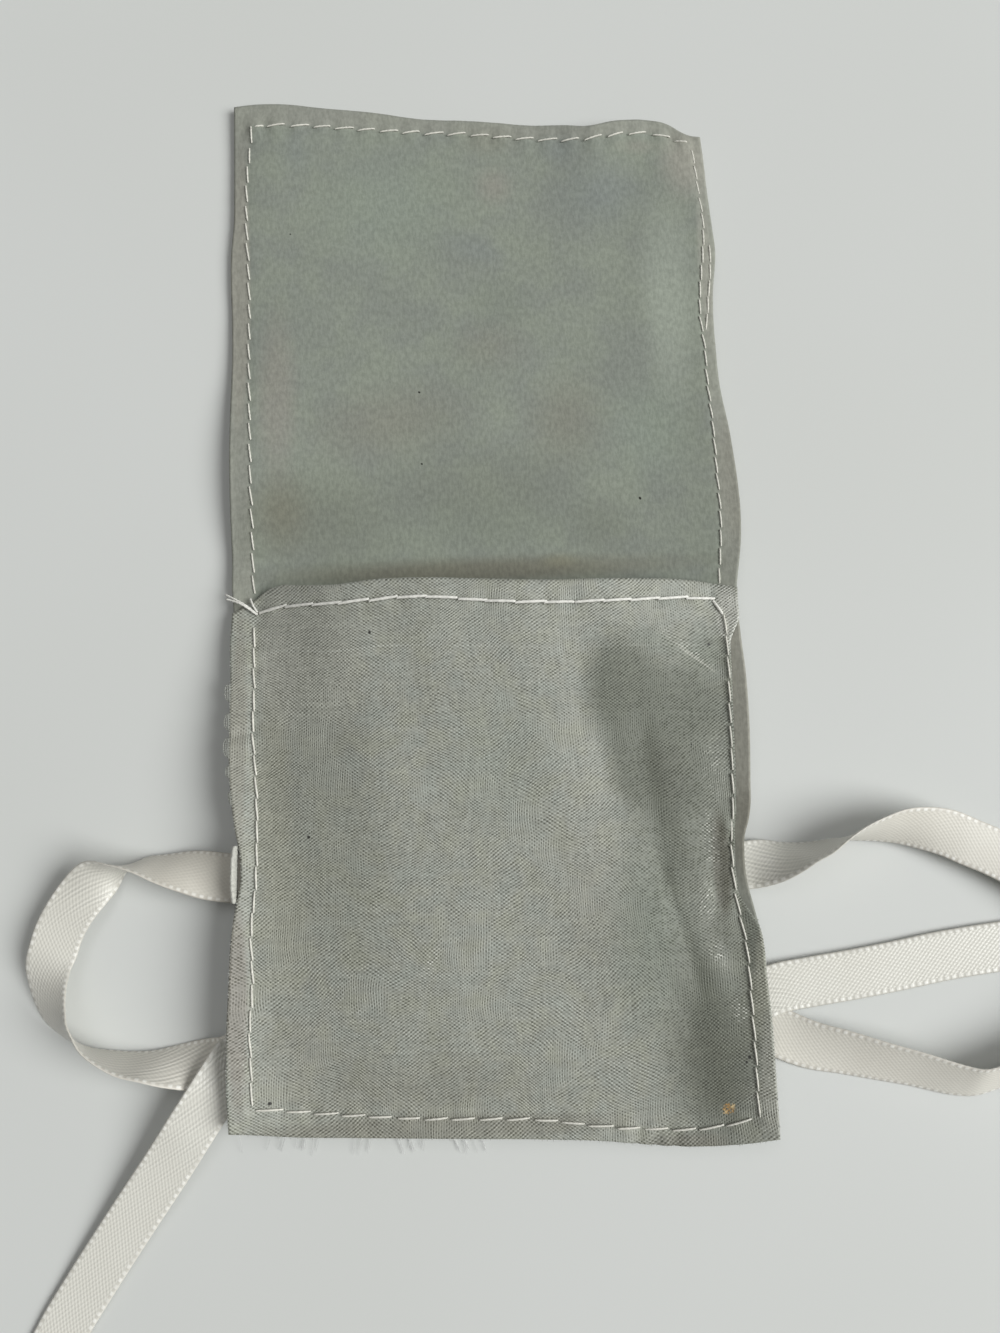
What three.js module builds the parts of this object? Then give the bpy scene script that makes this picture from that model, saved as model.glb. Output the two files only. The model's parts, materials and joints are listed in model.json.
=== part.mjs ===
// A small flap pouch for jewellery, sewn from a suede-like lining and a thin woven cover.
// It lies open on a table: the pocket towards -Y, the flap folded back towards +Y, the inside up.
// Millimetres, +Z up. The origin is on the table, under the middle of the opened pouch.
import * as THREE from "three";

// Driving sizes of the sewn pouch
const WIDTH = 70; // raw edge to raw edge, across the pouch
const POCKET_DEPTH = 73.6; // fold line to bottom edge, at its longest side
const FLAP_LENGTH = 75.8; // fold line to free edge, at its longest side
const BOTTOM_SLANT = 3.5; // how much shorter the pocket is on its left side
const TOP_SLANT = 4.6; // how much shorter the flap is right of its middle
const TIP_DROP = 3.4; // how far the flap's right corner is cut back
const COVER_MARGIN = 0.7; // the frayed cover shows this far past the lining

// Cloth and thread thicknesses
const COVER_THICKNESS = 0.5;
const LINING_THICKNESS = 0.7;
const FRONT_THICKNESS = 0.5;
const HEM_THICKNESS = 0.4;
const THREAD_DIAMETER = 0.5;
const MOUTH_THREAD_DIAMETER = 0.7;
const PLY_GAP = 0.3; // between one ply and the next, and between a thread and its cloth

// Seams and hem
const SEAM_INSET = 3.1; // side seams, from the raw edge
const BOTTOM_SEAM_INSET = 3.6;
const TOP_SEAM_INSET = 2.8;
const FLAP_SEAM_START = 1; // the flap's seam, from the fold line
const MOUTH_SETBACK = 0.9; // pocket mouth, from the fold line
const MOUTH_SLANT = 1.2; // the mouth's right end lies this much lower than its left end
const MOUTH_SEAM_INSET = 2.3; // topstitching, from the mouth edge
const HEM_DEPTH = 8.6; // cloth turned in at the mouth
const HEM_SIDE_GAP = 2.4; // the hem's ends, from the side seams
const BACKTACK_LENGTH = 18; // second run of stitches on the flap's right seam
const BACKTACK_START = 41; // its near end, from the fold line
const BACKTACK_OFFSET = 1.1; // it runs this far inside the seam

// Shape of the soft pouch as it lies
const PUFF = 6.2; // how far the pocket front stands off its seams, at the middle of the mouth
const FLAT_HALF_WIDTH = 18; // the back touches the table this far to each side
const POCKET_LIFT_LEFT = 4.6; // how high each raw edge stands off the table
const POCKET_LIFT_RIGHT = 3.2;
const BOTTOM_LIFT = 1.6;
const FLAP_LIFT_LEFT = 1.8;
const FLAP_LIFT_RIGHT = 1.5;
const TIP_LIFT = 1.8;
const END_CURL_REACH = 15; // the end edges start to rise this far in
const FOLD_CLEARANCE = 0.6; // between the closed flap and the topstitching

// Ribbon ties
const RIBBON_WIDTH = 6.4;
const RIBBON_THICKNESS = 0.4;
const RIBBON_EXIT_Y = -38.6; // middle of the ties where they leave, from the fold line
const TAB_END_GAP = 1.2; // the sewn tab ends this far inside the raw edge
const TAB_LENGTH = 6.5; // sewn part of the left tie under the back
const TAB_LENGTH_RIGHT = 4.6;
const END_FOLD_WIDTH = 1.1; // raw end of the left tie that shows beside the pouch
const END_FOLD_LENGTH = 7.2;

// Places that follow from the sizes
const HALF = WIDTH / 2;
const SEAM_X = HALF - SEAM_INSET;
const FOLD_Y = (POCKET_DEPTH + COVER_MARGIN - FLAP_LENGTH) / 2;
const LINING_BOTTOM = COVER_THICKNESS + PLY_GAP;
const LINING_TOP = LINING_BOTTOM + LINING_THICKNESS;
const FRONT_BOTTOM = LINING_TOP + PLY_GAP; // at the seams, where the pocket has no puff
const FRONT_TOP = FRONT_BOTTOM + FRONT_THICKNESS;
const HIGHEST = FRONT_TOP + PUFF + PLY_GAP + MOUTH_THREAD_DIAMETER;
// The cloth folds over the stack of the full pocket, so the fold's axis is half way up it.
const FOLD_HEIGHT = (LINING_TOP + HIGHEST + FOLD_CLEARANCE) / 2;

const ramp = (t) => Math.max(0, t) ** 2;
const smoothstep = (t) => THREE.MathUtils.smoothstep(t, 0, 1);
const bump = (y, centre, reach) => Math.exp(-(((y - centre) / reach) ** 2));

// Raw edges, seen from above. The ties pull both side edges in where they are sewn on.
function leftEdge(y) {
  return -HALF + 1.2 * bump(y, RIBBON_EXIT_Y, 6.5) - 0.3 * bump(y, 24, 12);
}
function rightEdge(y) {
  const pocket = -1.9 * bump(y, RIBBON_EXIT_Y, 8) + 0.2 * bump(y, -12, 6);
  const flap = 0.8 * bump(y, 11, 9) - 0.8 * bump(y, 38, 7) - 0.6 * bump(y, 66, 8);
  return HALF + pocket + flap;
}
function bottomEdge(x) {
  return -POCKET_DEPTH + BOTTOM_SLANT * smoothstep((HALF * 0.5 - x) / (HALF * 1.5));
}
function topEdge(x) {
  const slanted = FLAP_LENGTH - TOP_SLANT * smoothstep((x + HALF * 1.1) / (HALF * 1.35));
  return slanted - TIP_DROP * smoothstep((x - HALF * 0.78) / (HALF * 0.22));
}
function mouthEdge(x) {
  return -MOUTH_SETBACK - (MOUTH_SLANT * (x + HALF)) / WIDTH;
}

// Height of the back's underside: flat in the middle, rising to every raw edge in a soft curl.
function lift(x, y) {
  const side = ramp((Math.abs(x) - FLAT_HALF_WIDTH) / (HALF - FLAT_HALF_WIDTH));
  const blend = smoothstep((y + 8) / 16); // 0 on the pocket, 1 on the flap
  const left = THREE.MathUtils.lerp(POCKET_LIFT_LEFT, FLAP_LIFT_LEFT, blend);
  const right = THREE.MathUtils.lerp(POCKET_LIFT_RIGHT, FLAP_LIFT_RIGHT, blend);
  const top = TIP_LIFT * ramp((y - topEdge(x) + END_CURL_REACH) / END_CURL_REACH);
  const bottom = BOTTOM_LIFT * ramp((bottomEdge(x) + END_CURL_REACH - y) / END_CURL_REACH);
  return Math.hypot(side * (x < 0 ? left : right), y > 0 ? top : bottom);
}

// How far the pocket front stands off its seams: a pillow that stays open at the mouth.
function puff(x, y) {
  const across = 1 - Math.min(1, Math.abs(x) / SEAM_X) ** 4;
  const reach = -(bottomEdge(x) + BOTTOM_SEAM_INSET);
  const along = 1 - Math.min(1, Math.max(0, -y) / reach) ** 5;
  return PUFF * across * along;
}
const frontTop = (x, y) => lift(x, y) + FRONT_TOP + puff(x, y);

// Fractions of a grid: evenly spaced, or with one line at an inset from each chosen end.
const even = (count) => Array.from({ length: count + 1 }, (_, i) => i / count);
function insetEven(count, low, high) {
  const inner = even(count).map((t) => THREE.MathUtils.lerp(low, 1 - high, t));
  return [...(low > 0 ? [0] : []), ...inner, ...(high > 0 ? [1] : [])];
}

// A closed ply of cloth on a grid: outline(u, v) gives x and y, and two functions its faces.
function ply(outline, bottom, top, across, along) {
  const columns = across.length - 1;
  const rows = along.length - 1;
  const points = [];
  const layer = (columns + 1) * (rows + 1);
  for (const height of [top, bottom]) {
    for (let j = 0; j <= rows; j++) {
      for (let i = 0; i <= columns; i++) {
        const [x, y] = outline(across[i], along[j]);
        points.push(x, y, height(x, y));
      }
    }
  }
  const at = (i, j) => j * (columns + 1) + i;
  const faces = [];
  const quad = (a, b, c, d) => faces.push(a, b, c, a, c, d);
  for (let j = 0; j < rows; j++) {
    for (let i = 0; i < columns; i++) {
      const corners = [at(i, j), at(i + 1, j), at(i + 1, j + 1), at(i, j + 1)];
      quad(...corners);
      quad(...corners.map((k) => k + layer).reverse());
    }
  }
  const rim = [];
  for (let i = 0; i < columns; i++) rim.push(at(i, 0));
  for (let j = 0; j < rows; j++) rim.push(at(columns, j));
  for (let i = columns; i > 0; i--) rim.push(at(i, rows));
  for (let j = rows; j > 0; j--) rim.push(at(0, j));
  rim.forEach((a, n) => {
    const b = rim[(n + 1) % rim.length];
    quad(a, a + layer, b + layer, b);
  });
  return new THREE.BufferGeometry()
    .setAttribute("position", new THREE.Float32BufferAttribute(points, 3))
    .setIndex(faces);
}

// Outlines of the plies: u runs left to right, v from low y to high y.
function pouchOutline(low, high, margin = 0) {
  return (u, v) => {
    const y0 = THREE.MathUtils.lerp(low(-HALF), high(-HALF), v);
    const x0 = THREE.MathUtils.lerp(leftEdge(y0) - margin, rightEdge(y0) + margin, u);
    const y = THREE.MathUtils.lerp(low(x0), high(x0), v);
    const x = THREE.MathUtils.lerp(leftEdge(y) - margin, rightEdge(y) + margin, u);
    return [x, y];
  };
}
function hemOutline(u, v) {
  const reach = SEAM_X - HEM_SIDE_GAP;
  const x = THREE.MathUtils.lerp(-reach, reach, u);
  return [x, mouthEdge(x) - HEM_DEPTH * (1 - v)];
}

// A thread laid along points, as a thin six-sided rod.
function thread(points, diameter, steps) {
  const turn = Math.PI / 3;
  const section = new THREE.Shape(
    [0, 1, 2, 3, 4, 5].map(
      (n) => new THREE.Vector2(Math.cos(n * turn), Math.sin(n * turn)).multiplyScalar(diameter / 2),
    ),
  );
  const path = new THREE.CatmullRomCurve3(points, false, "centripetal");
  return new THREE.ExtrudeGeometry(section, { extrudePath: path, steps });
}

// Points of a seam from one place to another, lying on a surface of the pouch.
function seamPoints(place, height, count) {
  return Array.from({ length: count + 1 }, (_, n) => {
    const [x, y] = place(n / count);
    return new THREE.Vector3(x, y, height(x, y));
  });
}

// A flat ribbon through hand-chosen stations [x, y, z, azimuth, elevation]. The angles, in
// degrees, give the straight line across the ribbon there, which lies askew at a fold.
function ribbon(stations, steps) {
  const path = new THREE.CatmullRomCurve3(
    stations.map(([x, y, z]) => new THREE.Vector3(x, y, z)),
    false,
    "centripetal",
  );
  const widths = stations.map(([, , , azimuth, elevation]) => {
    const a = THREE.MathUtils.degToRad(azimuth);
    const e = THREE.MathUtils.degToRad(elevation);
    return new THREE.Vector3(Math.cos(a) * Math.cos(e), Math.sin(a) * Math.cos(e), Math.sin(e));
  });
  const points = [];
  for (let n = 0; n <= steps; n++) {
    const t = n / steps;
    const s = Math.min(t * (widths.length - 1), widths.length - 1 - 1e-9);
    const k = Math.floor(s);
    const centre = path.getPoint(t);
    const along = path.getTangent(t);
    const across = widths[k].clone().lerp(widths[k + 1], s - k).normalize();
    const up = along.clone().cross(across);
    across.setLength(RIBBON_WIDTH / 2 / up.length());
    up.setLength(RIBBON_THICKNESS / 2);
    for (const [a, b] of [[-1, -1], [1, -1], [1, 1], [-1, 1]]) {
      points.push(...centre.clone().addScaledVector(across, a).addScaledVector(up, b).toArray());
    }
  }
  const faces = [0, 2, 1, 0, 3, 2];
  for (let n = 0; n < steps; n++) {
    for (let c = 0; c < 4; c++) {
      const a = 4 * n + c;
      const b = 4 * n + ((c + 1) % 4);
      faces.push(a, b, b + 4, a, b + 4, a + 4);
    }
  }
  const last = 4 * steps;
  faces.push(last, last + 1, last + 2, last, last + 2, last + 3);
  return new THREE.BufferGeometry()
    .setAttribute("position", new THREE.Float32BufferAttribute(points, 3))
    .setIndex(faces);
}

// Finishes
const finish = (color, roughness) => new THREE.MeshStandardMaterial({ color, roughness, metalness: 0 });
const suede = finish(0x818577, 0.95);
const woven = finish(0x989a90, 0.55);
const hemCloth = finish(0xa9aba2, 0.55);
const threadWhite = finish(0xe8e6dd, 0.6);
const satin = finish(0xe6e4da, 0.35);

const pouch = new THREE.Group();
pouch.position.y = FOLD_Y;
pouch.userData.foldAxis = { y: FOLD_Y, z: FOLD_HEIGHT };
function add(name, geometry, material) {
  const mesh = new THREE.Mesh(geometry, material);
  mesh.name = name;
  pouch.add(mesh);
}

// Back of the pocket: woven cover outside, lining inside
const halfGap = PLY_GAP / 2;
const pocketPlan = pouchOutline(bottomEdge, () => -halfGap);
const pocketCoverPlan = pouchOutline((x) => bottomEdge(x) - COVER_MARGIN, () => -halfGap, COVER_MARGIN);
const raised = (z) => (x, y) => lift(x, y) + z;
add("back_cover", ply(pocketCoverPlan, raised(0), raised(COVER_THICKNESS), even(16), even(18)), woven);
add("back_lining", ply(pocketPlan, raised(LINING_BOTTOM), raised(LINING_TOP), even(16), even(18)), suede);

// Pocket front and the hem turned in at its mouth
const frontPlan = pouchOutline(bottomEdge, mouthEdge);
const frontUnder = (x, y) => frontTop(x, y) - FRONT_THICKNESS;
const hemTop = (x, y) => frontUnder(x, y) - PLY_GAP;
const seamColumns = insetEven(16, SEAM_INSET / WIDTH, SEAM_INSET / WIDTH);
const seamRows = insetEven(14, BOTTOM_SEAM_INSET / POCKET_DEPTH, 0);
add("pocket_front", ply(frontPlan, frontUnder, frontTop, seamColumns, seamRows), woven);
const hemUnder = (x, y) => hemTop(x, y) - HEM_THICKNESS;
add("mouth_hem", ply(hemOutline, hemUnder, hemTop, even(16), even(3)), hemCloth);

// Flap: lining inside, woven cover outside
const flapPlan = pouchOutline(() => halfGap, topEdge);
add("flap_lining", ply(flapPlan, raised(LINING_BOTTOM), raised(LINING_TOP), even(16), even(16)), suede);
add("flap_cover", ply(flapPlan, raised(0), raised(COVER_THICKNESS), even(16), even(16)), woven);

// Seams: one thread round the pocket and one round the flap, on the visible side
const onFront = (x, y) => frontTop(x, y) + PLY_GAP + THREAD_DIAMETER / 2;
const onFlap = (x, y) => lift(x, y) + LINING_TOP + PLY_GAP + THREAD_DIAMETER / 2;
const leftSeam = (y) => leftEdge(y) + SEAM_INSET;
const rightSeam = (y) => rightEdge(y) - SEAM_INSET;
const bottomSeam = (x) => bottomEdge(x) + BOTTOM_SEAM_INSET;
const topSeam = (x) => topEdge(x) - TOP_SEAM_INSET;
const SEAM_STEPS = 72;
const seamStart = -MOUTH_SETBACK - MOUTH_SEAM_INSET - 2 * MOUTH_THREAD_DIAMETER;
function boxedSeam(near, far) {
  // Three runs with a point short of each corner, so that the thread turns it tightly.
  const corner = 0.6;
  const low = far(-SEAM_X);
  const high = far(SEAM_X);
  const inward = Math.sign(near - low) * corner;
  const rightNear = near - Math.abs(MOUTH_SLANT) * (near < 0 ? 1 : 0);
  const lefts = (t) => THREE.MathUtils.lerp(near, low + inward, t);
  const rights = (t) => THREE.MathUtils.lerp(high + inward, rightNear, t);
  const across = (t) => THREE.MathUtils.lerp(-SEAM_X + corner, SEAM_X - corner, t);
  return (height) => [
    ...seamPoints((t) => [leftSeam(lefts(t)), lefts(t)], height, 18),
    ...seamPoints((t) => [across(t), far(across(t))], height, 12),
    ...seamPoints((t) => [rightSeam(rights(t)), rights(t)], height, 18),
  ];
}
const pocketSeam = boxedSeam(seamStart, bottomSeam);
const flapSeam = boxedSeam(FLAP_SEAM_START, topSeam);
const seamThread = (points) => thread(points, THREAD_DIAMETER, SEAM_STEPS);
add("pocket_seam_thread", seamThread(pocketSeam(onFront)), threadWhite);
add("flap_seam_thread", seamThread(flapSeam(onFlap)), threadWhite);

// A second run of stitches inside the flap's right seam, where the sewing started again
const backtackPlace = (t) => {
  const y = BACKTACK_START + BACKTACK_LENGTH * t;
  return [rightSeam(y) - BACKTACK_OFFSET, y];
};
add("flap_backtack_thread", thread(seamPoints(backtackPlace, onFlap, 5), THREAD_DIAMETER, 8), threadWhite);

// Topstitching of the mouth and the loose tail that it leaves at the left corner
const onMouth = (x, y) => frontTop(x, y) + PLY_GAP + MOUTH_THREAD_DIAMETER / 2;
const mouthPlace = (t) => {
  const x = THREE.MathUtils.lerp(-SEAM_X, SEAM_X, t);
  return [x, mouthEdge(x) - MOUTH_SEAM_INSET];
};
add("mouth_thread", thread(seamPoints(mouthPlace, onMouth, 18), MOUTH_THREAD_DIAMETER, 28), threadWhite);
const tailPlace = (t) => {
  const [x, y] = mouthPlace(0);
  return [x - MOUTH_THREAD_DIAMETER - PLY_GAP - 3.4 * t, y + 2.4 * t];
};
const tailPoints = seamPoints(tailPlace, (x, y) => onMouth(Math.max(x, leftEdge(y)), y), 3);
add("mouth_thread_tail", thread(tailPoints, THREAD_DIAMETER, 5), threadWhite);

// Sewn tabs of the two ties, under the raised side edges of the back
function tabPlan(side) {
  const length = side < 0 ? TAB_LENGTH : TAB_LENGTH_RIGHT;
  const edge = Math.abs(side < 0 ? leftEdge(RIBBON_EXIT_Y) : rightEdge(RIBBON_EXIT_Y));
  const outer = edge - TAB_END_GAP;
  return (u, v) => {
    const x = side * (side < 0 ? outer - length * u : outer - length * (1 - u));
    return [x, RIBBON_EXIT_Y + RIBBON_WIDTH * (v - 0.5)];
  };
}
const tabTop = (x, y) => lift(x, y) - PLY_GAP;
const tabBottom = (x, y) => tabTop(x, y) - RIBBON_THICKNESS;
add("tie_tab_left", ply(tabPlan(-1), tabBottom, tabTop, even(4), even(2)), satin);
add("tie_tab_right", ply(tabPlan(1), tabBottom, tabTop, even(4), even(2)), satin);

// Raw end of the left tie, turned out beside the pouch, over the frayed edge of the cover
function endFoldPlan(u, v) {
  const y = RIBBON_EXIT_Y + END_FOLD_LENGTH * (v - 0.5);
  return [leftEdge(y) - PLY_GAP - END_FOLD_WIDTH * (1 - u), y];
}
const endFoldTop = (x, y) => lift(x, y) + LINING_BOTTOM + RIBBON_THICKNESS;
add("tie_end_left", ply(endFoldPlan, raised(LINING_BOTTOM), endFoldTop, even(1), even(4)), satin);

// Free ribbons. Each route is chosen by hand, from its sewn tab to its cut end. Measured from
// the fold line: x, y, z, then the azimuth and the elevation of the ribbon's width.
const LEFT_ROUTE = [
  [-33.3, -38.6, 2.9, 87, 0],
  [-35.2, -38.4, 3.3, 83, 0],
  [-37.6, -38.0, 3.7, 78, -12],
  [-40.3, -37.3, 4.3, 76, -33],
  [-43.8, -36.7, 4.9, 82, -58],
  [-46.5, -36.3, 5.2, 88, -75],
  [-49.1, -36.6, 5.3, 104, -98],
  [-51.9, -38.6, 5.4, 130, -138],
  [-54.0, -41.0, 5.5, 146, -168],
  [-56.2, -44.2, 5.5, 156, -182],
  [-57.3, -46.8, 5.3, 164, -200],
  [-58.0, -50.3, 5.0, 174, -220],
  [-57.9, -52.4, 4.6, 188, -236],
  [-57.0, -54.9, 4.2, 206, -254],
  [-55.6, -57.5, 3.9, 224, -270],
  [-53.0, -59.6, 3.6, 240, -298],
  [-49.3, -61.2, 3.2, 254, -314],
  [-45.5, -61.9, 2.7, 266, -328],
  [-41.0, -62.0, 2.2, 269, -345],
  [-38.2, -62.0, 2.05, 271, -355],
  [-36.9, -62.0, 2.05, 284, -360],
  [-35.9, -62.0, 2.05, 297, -360],
  [-35.35, -62.15, 2.5, 297, -360],
  [-35.6, -62.7, 2.95, 297, -360],
  [-36.5, -64.0, 3.25, 312, -360],
  [-37.9, -66.1, 3.5, 325, -360],
  [-40.5, -69.7, 3.4, 325, -360],
  [-43.0, -73.4, 3.1, 325, -360],
  [-47.9, -80.7, 2.7, 326, -360],
  [-52.9, -88.1, 2.2, 326, -360],
  [-56.2, -93.2, 1.7, 328, -360],
  [-59.3, -99.6, 1.1, 338, -360],
  [-60.0, -106.4, 0.6, 365, -360],
  [-57.0, -112.4, 0.35, 400, -360],
  [-51.2, -116.0, 0.35, 432, -360],
  [-44.2, -116.4, 0.35, 454, -360],
];
const RIGHT_ROUTE = [
  [32.6, -39.5, 1.35, 274, 181],
  [34.2, -39.4, 1.6, 276, 187],
  [36.3, -39.1, 2.4, 279, 207],
  [38.6, -38.7, 3.2, 283, 224],
  [40.9, -38.1, 3.8, 285, 238],
  [43.1, -37.5, 4.3, 288, 252],
  [45.5, -36.5, 4.7, 289, 270],
  [47.9, -35.9, 4.9, 284, 286],
  [50.9, -35.4, 5.0, 278, 301],
  [54.1, -35.2, 5.1, 268, 318],
  [58.8, -36.1, 5.2, 252, 342],
  [62.1, -37.5, 5.2, 245, 352],
  [65.2, -39.0, 5.1, 243, 358],
  [71.5, -42.8, 4.6, 236, 370],
  [77.5, -47.4, 4.2, 222, 385],
  [80.8, -53.0, 3.9, 196, 400],
  [79.6, -58.8, 3.7, 158, 410],
  [74.6, -63.0, 3.5, 127, 412],
  [68.6, -65.6, 3.3, 112, 411],
  [63.2, -67.3, 3.2, 104, 410],
  [60.8, -67.8, 3.0, 91, 408],
  [58.4, -67.5, 2.8, 80, 405],
  [53.2, -66.1, 2.45, 75, 400],
  [48.6, -64.9, 2.1, 75, 393],
  [44.4, -63.8, 1.65, 76, 384],
  [40.2, -62.8, 1.15, 72, 373],
  [36.4, -61.2, 0.7, 63, 363],
  [33.8, -59.75, 0.45, 71, 360],
  [31.3, -58.3, 0.34, 87, 360],
  [31.0, -58.05, 0.64, 87, 360],
  [31.3, -57.8, 0.94, 87, 360],
  [33.5, -56.7, 1.0, 103, 360],
  [36.4, -55.5, 1.4, 106, 360],
  [40.9, -54.7, 1.9, 98, 360],
  [46.4, -54.0, 2.0, 98, 360],
  [52.4, -53.1, 1.9, 98, 360],
  [58.5, -52.2, 1.7, 98, 360],
  [65.4, -51.4, 1.3, 96, 360],
  [70.6, -51.0, 0.9, 93, 360],
  [75.6, -50.9, 0.6, 91, 360],
];
const STEPS_BETWEEN_STATIONS = 2;
const tie = (route) => ribbon(route, (route.length - 1) * STEPS_BETWEEN_STATIONS);
add("tie_ribbon_left", tie(LEFT_ROUTE), satin);
add("tie_ribbon_right", tie(RIGHT_ROUTE), satin);

// The under threads of the lock stitches, on the back of each seam. The side seams catch the
// ribbon tabs, so the under thread passes below them.
const overTab = (y) => smoothstep((RIBBON_WIDTH / 2 + 5 - Math.abs(y - RIBBON_EXIT_Y)) / 4);
const tabRelief = (x, y) => (Math.abs(x) > FLAT_HALF_WIDTH ? overTab(y) * (RIBBON_THICKNESS + PLY_GAP) : 0);
const underBack = (x, y) => lift(x, y) - PLY_GAP - THREAD_DIAMETER / 2 - tabRelief(x, y);
const underHem = (x, y) => hemTop(x, y) - HEM_THICKNESS - PLY_GAP - THREAD_DIAMETER / 2;
const hemPlace = (t) => {
  const reach = SEAM_X - HEM_SIDE_GAP - 1;
  const x = THREE.MathUtils.lerp(-reach, reach, t);
  return [x, mouthEdge(x) - MOUTH_SEAM_INSET];
};
add("pocket_under_thread", seamThread(pocketSeam(underBack)), threadWhite);
add("flap_under_thread", seamThread(flapSeam(underBack)), threadWhite);
add("mouth_under_thread", thread(seamPoints(hemPlace, underHem, 16), THREAD_DIAMETER, 20), threadWhite);

export default pouch;
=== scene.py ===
"""A small flap pouch for jewellery, lying open on a pale table with its ribbon ties loose.

The pouch is sewn from a suede-like lining and a thin woven cover. Shapes are worked out in
millimetres from the fold line between pocket and flap, and then put into the row frame.
"""
import json
import math

import bpy
import numpy as np
from mathutils import Matrix, Vector


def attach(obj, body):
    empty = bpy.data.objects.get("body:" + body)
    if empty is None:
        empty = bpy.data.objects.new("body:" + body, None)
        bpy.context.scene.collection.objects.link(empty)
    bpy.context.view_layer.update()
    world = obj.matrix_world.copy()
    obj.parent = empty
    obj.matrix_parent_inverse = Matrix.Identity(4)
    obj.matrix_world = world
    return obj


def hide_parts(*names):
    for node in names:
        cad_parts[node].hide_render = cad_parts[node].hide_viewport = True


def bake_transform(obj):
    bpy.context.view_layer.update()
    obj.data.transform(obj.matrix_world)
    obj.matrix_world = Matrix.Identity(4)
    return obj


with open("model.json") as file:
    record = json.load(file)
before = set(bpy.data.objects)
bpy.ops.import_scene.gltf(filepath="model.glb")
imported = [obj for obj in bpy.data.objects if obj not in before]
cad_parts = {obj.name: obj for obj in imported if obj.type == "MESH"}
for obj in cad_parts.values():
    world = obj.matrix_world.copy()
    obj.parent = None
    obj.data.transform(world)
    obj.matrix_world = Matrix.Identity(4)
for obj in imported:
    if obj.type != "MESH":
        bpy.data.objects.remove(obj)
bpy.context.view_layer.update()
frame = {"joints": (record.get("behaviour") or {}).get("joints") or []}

MM = 0.001
FOLD_Y = frame["joints"][0]["pos_m"][1] / MM  # the fold line in the row frame
RANDOM = np.random.default_rng(7)

# Sizes of the sewn pouch, in millimetres
HALF = 35.0
HEM_DEPTH = 8.8
HEM_STEP = 0.16  # how far the hem lifts the front
HEM_PLY = 0.35
HEM_SINK = 0.8  # how deep the hem lies under the front's upper face
COVER_TOP = 0.5
LINING_BOTTOM = 0.8
LINING_TOP = 1.5
FRONT_TOP = 2.3
PUFF = 6.2
PUFF_HALF_WIDTH = 31.9
FLAT_HALF_WIDTH = 18.0
END_CURL_REACH = 15.0  # the pouch's two ends start to rise this far in
TIP_RISE = 1.3
BOTTOM_RISE = 1.6
TIE_Y = -38.6
RIBBON_WIDTH = 6.4
RIBBON_THICKNESS = 0.26
TAB_THICKNESS = 0.4
TAB_GAP = 0.15  # between the tabs and the back
THREAD = 0.29
MOUTH_THREAD = 0.42
THREAD_SIDES = 8
PLY_TWIST = 5.0  # radians in a millimetre
FRONT_PLY = 0.36
FRONT_SINK = 0.25  # how deep the middle of the front's ply lies under its upper face
BOTTOM_SEAM_INSET = 3.6
HEM_SIDE_GAP = 2.4  # the hem's ends, from the side seams

# Camera, over the pouch and a little towards the pocket's end
CAMERA_PLACE = (0.737, -33.715, 137.868)
CAMERA_AXES = ((0.9992, -0.0390, 0.0), (0.0385, 0.9859, 0.1626), (-0.0063, -0.1625, 0.9867))
LENS_MM = 27.0
SENSOR_MM = 36.0


def placed(points):
    """Millimetres from the fold line, turned into metres in the row frame."""
    points = np.asarray(points, float)
    return (points + (0.0, FOLD_Y, 0.0)) * MM


def make_camera():
    """The camera looks down on the pouch; its axes are its right, its up and its back."""
    camera = bpy.data.objects.new("camera", bpy.data.cameras.new("camera"))
    bpy.context.scene.collection.objects.link(camera)
    camera.data.sensor_width = SENSOR_MM
    camera.data.lens = LENS_MM
    camera.data.clip_start = 0.005
    turn = Matrix(CAMERA_AXES).transposed().to_4x4()
    camera.matrix_world = Matrix.Translation(Vector(placed(CAMERA_PLACE))) @ turn
    bpy.context.scene.camera = camera


make_camera()


# Surfaces
def smooth(t):
    """Rises from 0 to 1 as t goes from 0 to 1, level at both ends."""
    t = np.clip(t, 0, 1)
    return t * t * (3 - 2 * t)


def bump(t, centre, reach):
    """A bell of height 1 round the centre."""
    return np.exp(-(((t - centre) / reach) ** 2))


def through(*knots):
    """A smooth curve through (place, value) knots: a cubic from each to the next, level past the ends.

    Its slope at a knot is the slope from the knot before to the knot after."""
    places, values = np.array(knots, float).T
    slopes = np.gradient(values, places)

    def curve(t):
        t = np.clip(t, places[0], places[-1])
        k = np.clip(np.searchsorted(places, t) - 1, 0, len(places) - 2)
        gap = places[k + 1] - places[k]
        s = (t - places[k]) / gap
        rise = values[k + 1] - values[k]
        start, end = slopes[k] * gap, slopes[k + 1] * gap
        return values[k] + s * (start + s * (3 * rise - 2 * start - end + s * (start + end - 2 * rise)))

    return curve


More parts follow.
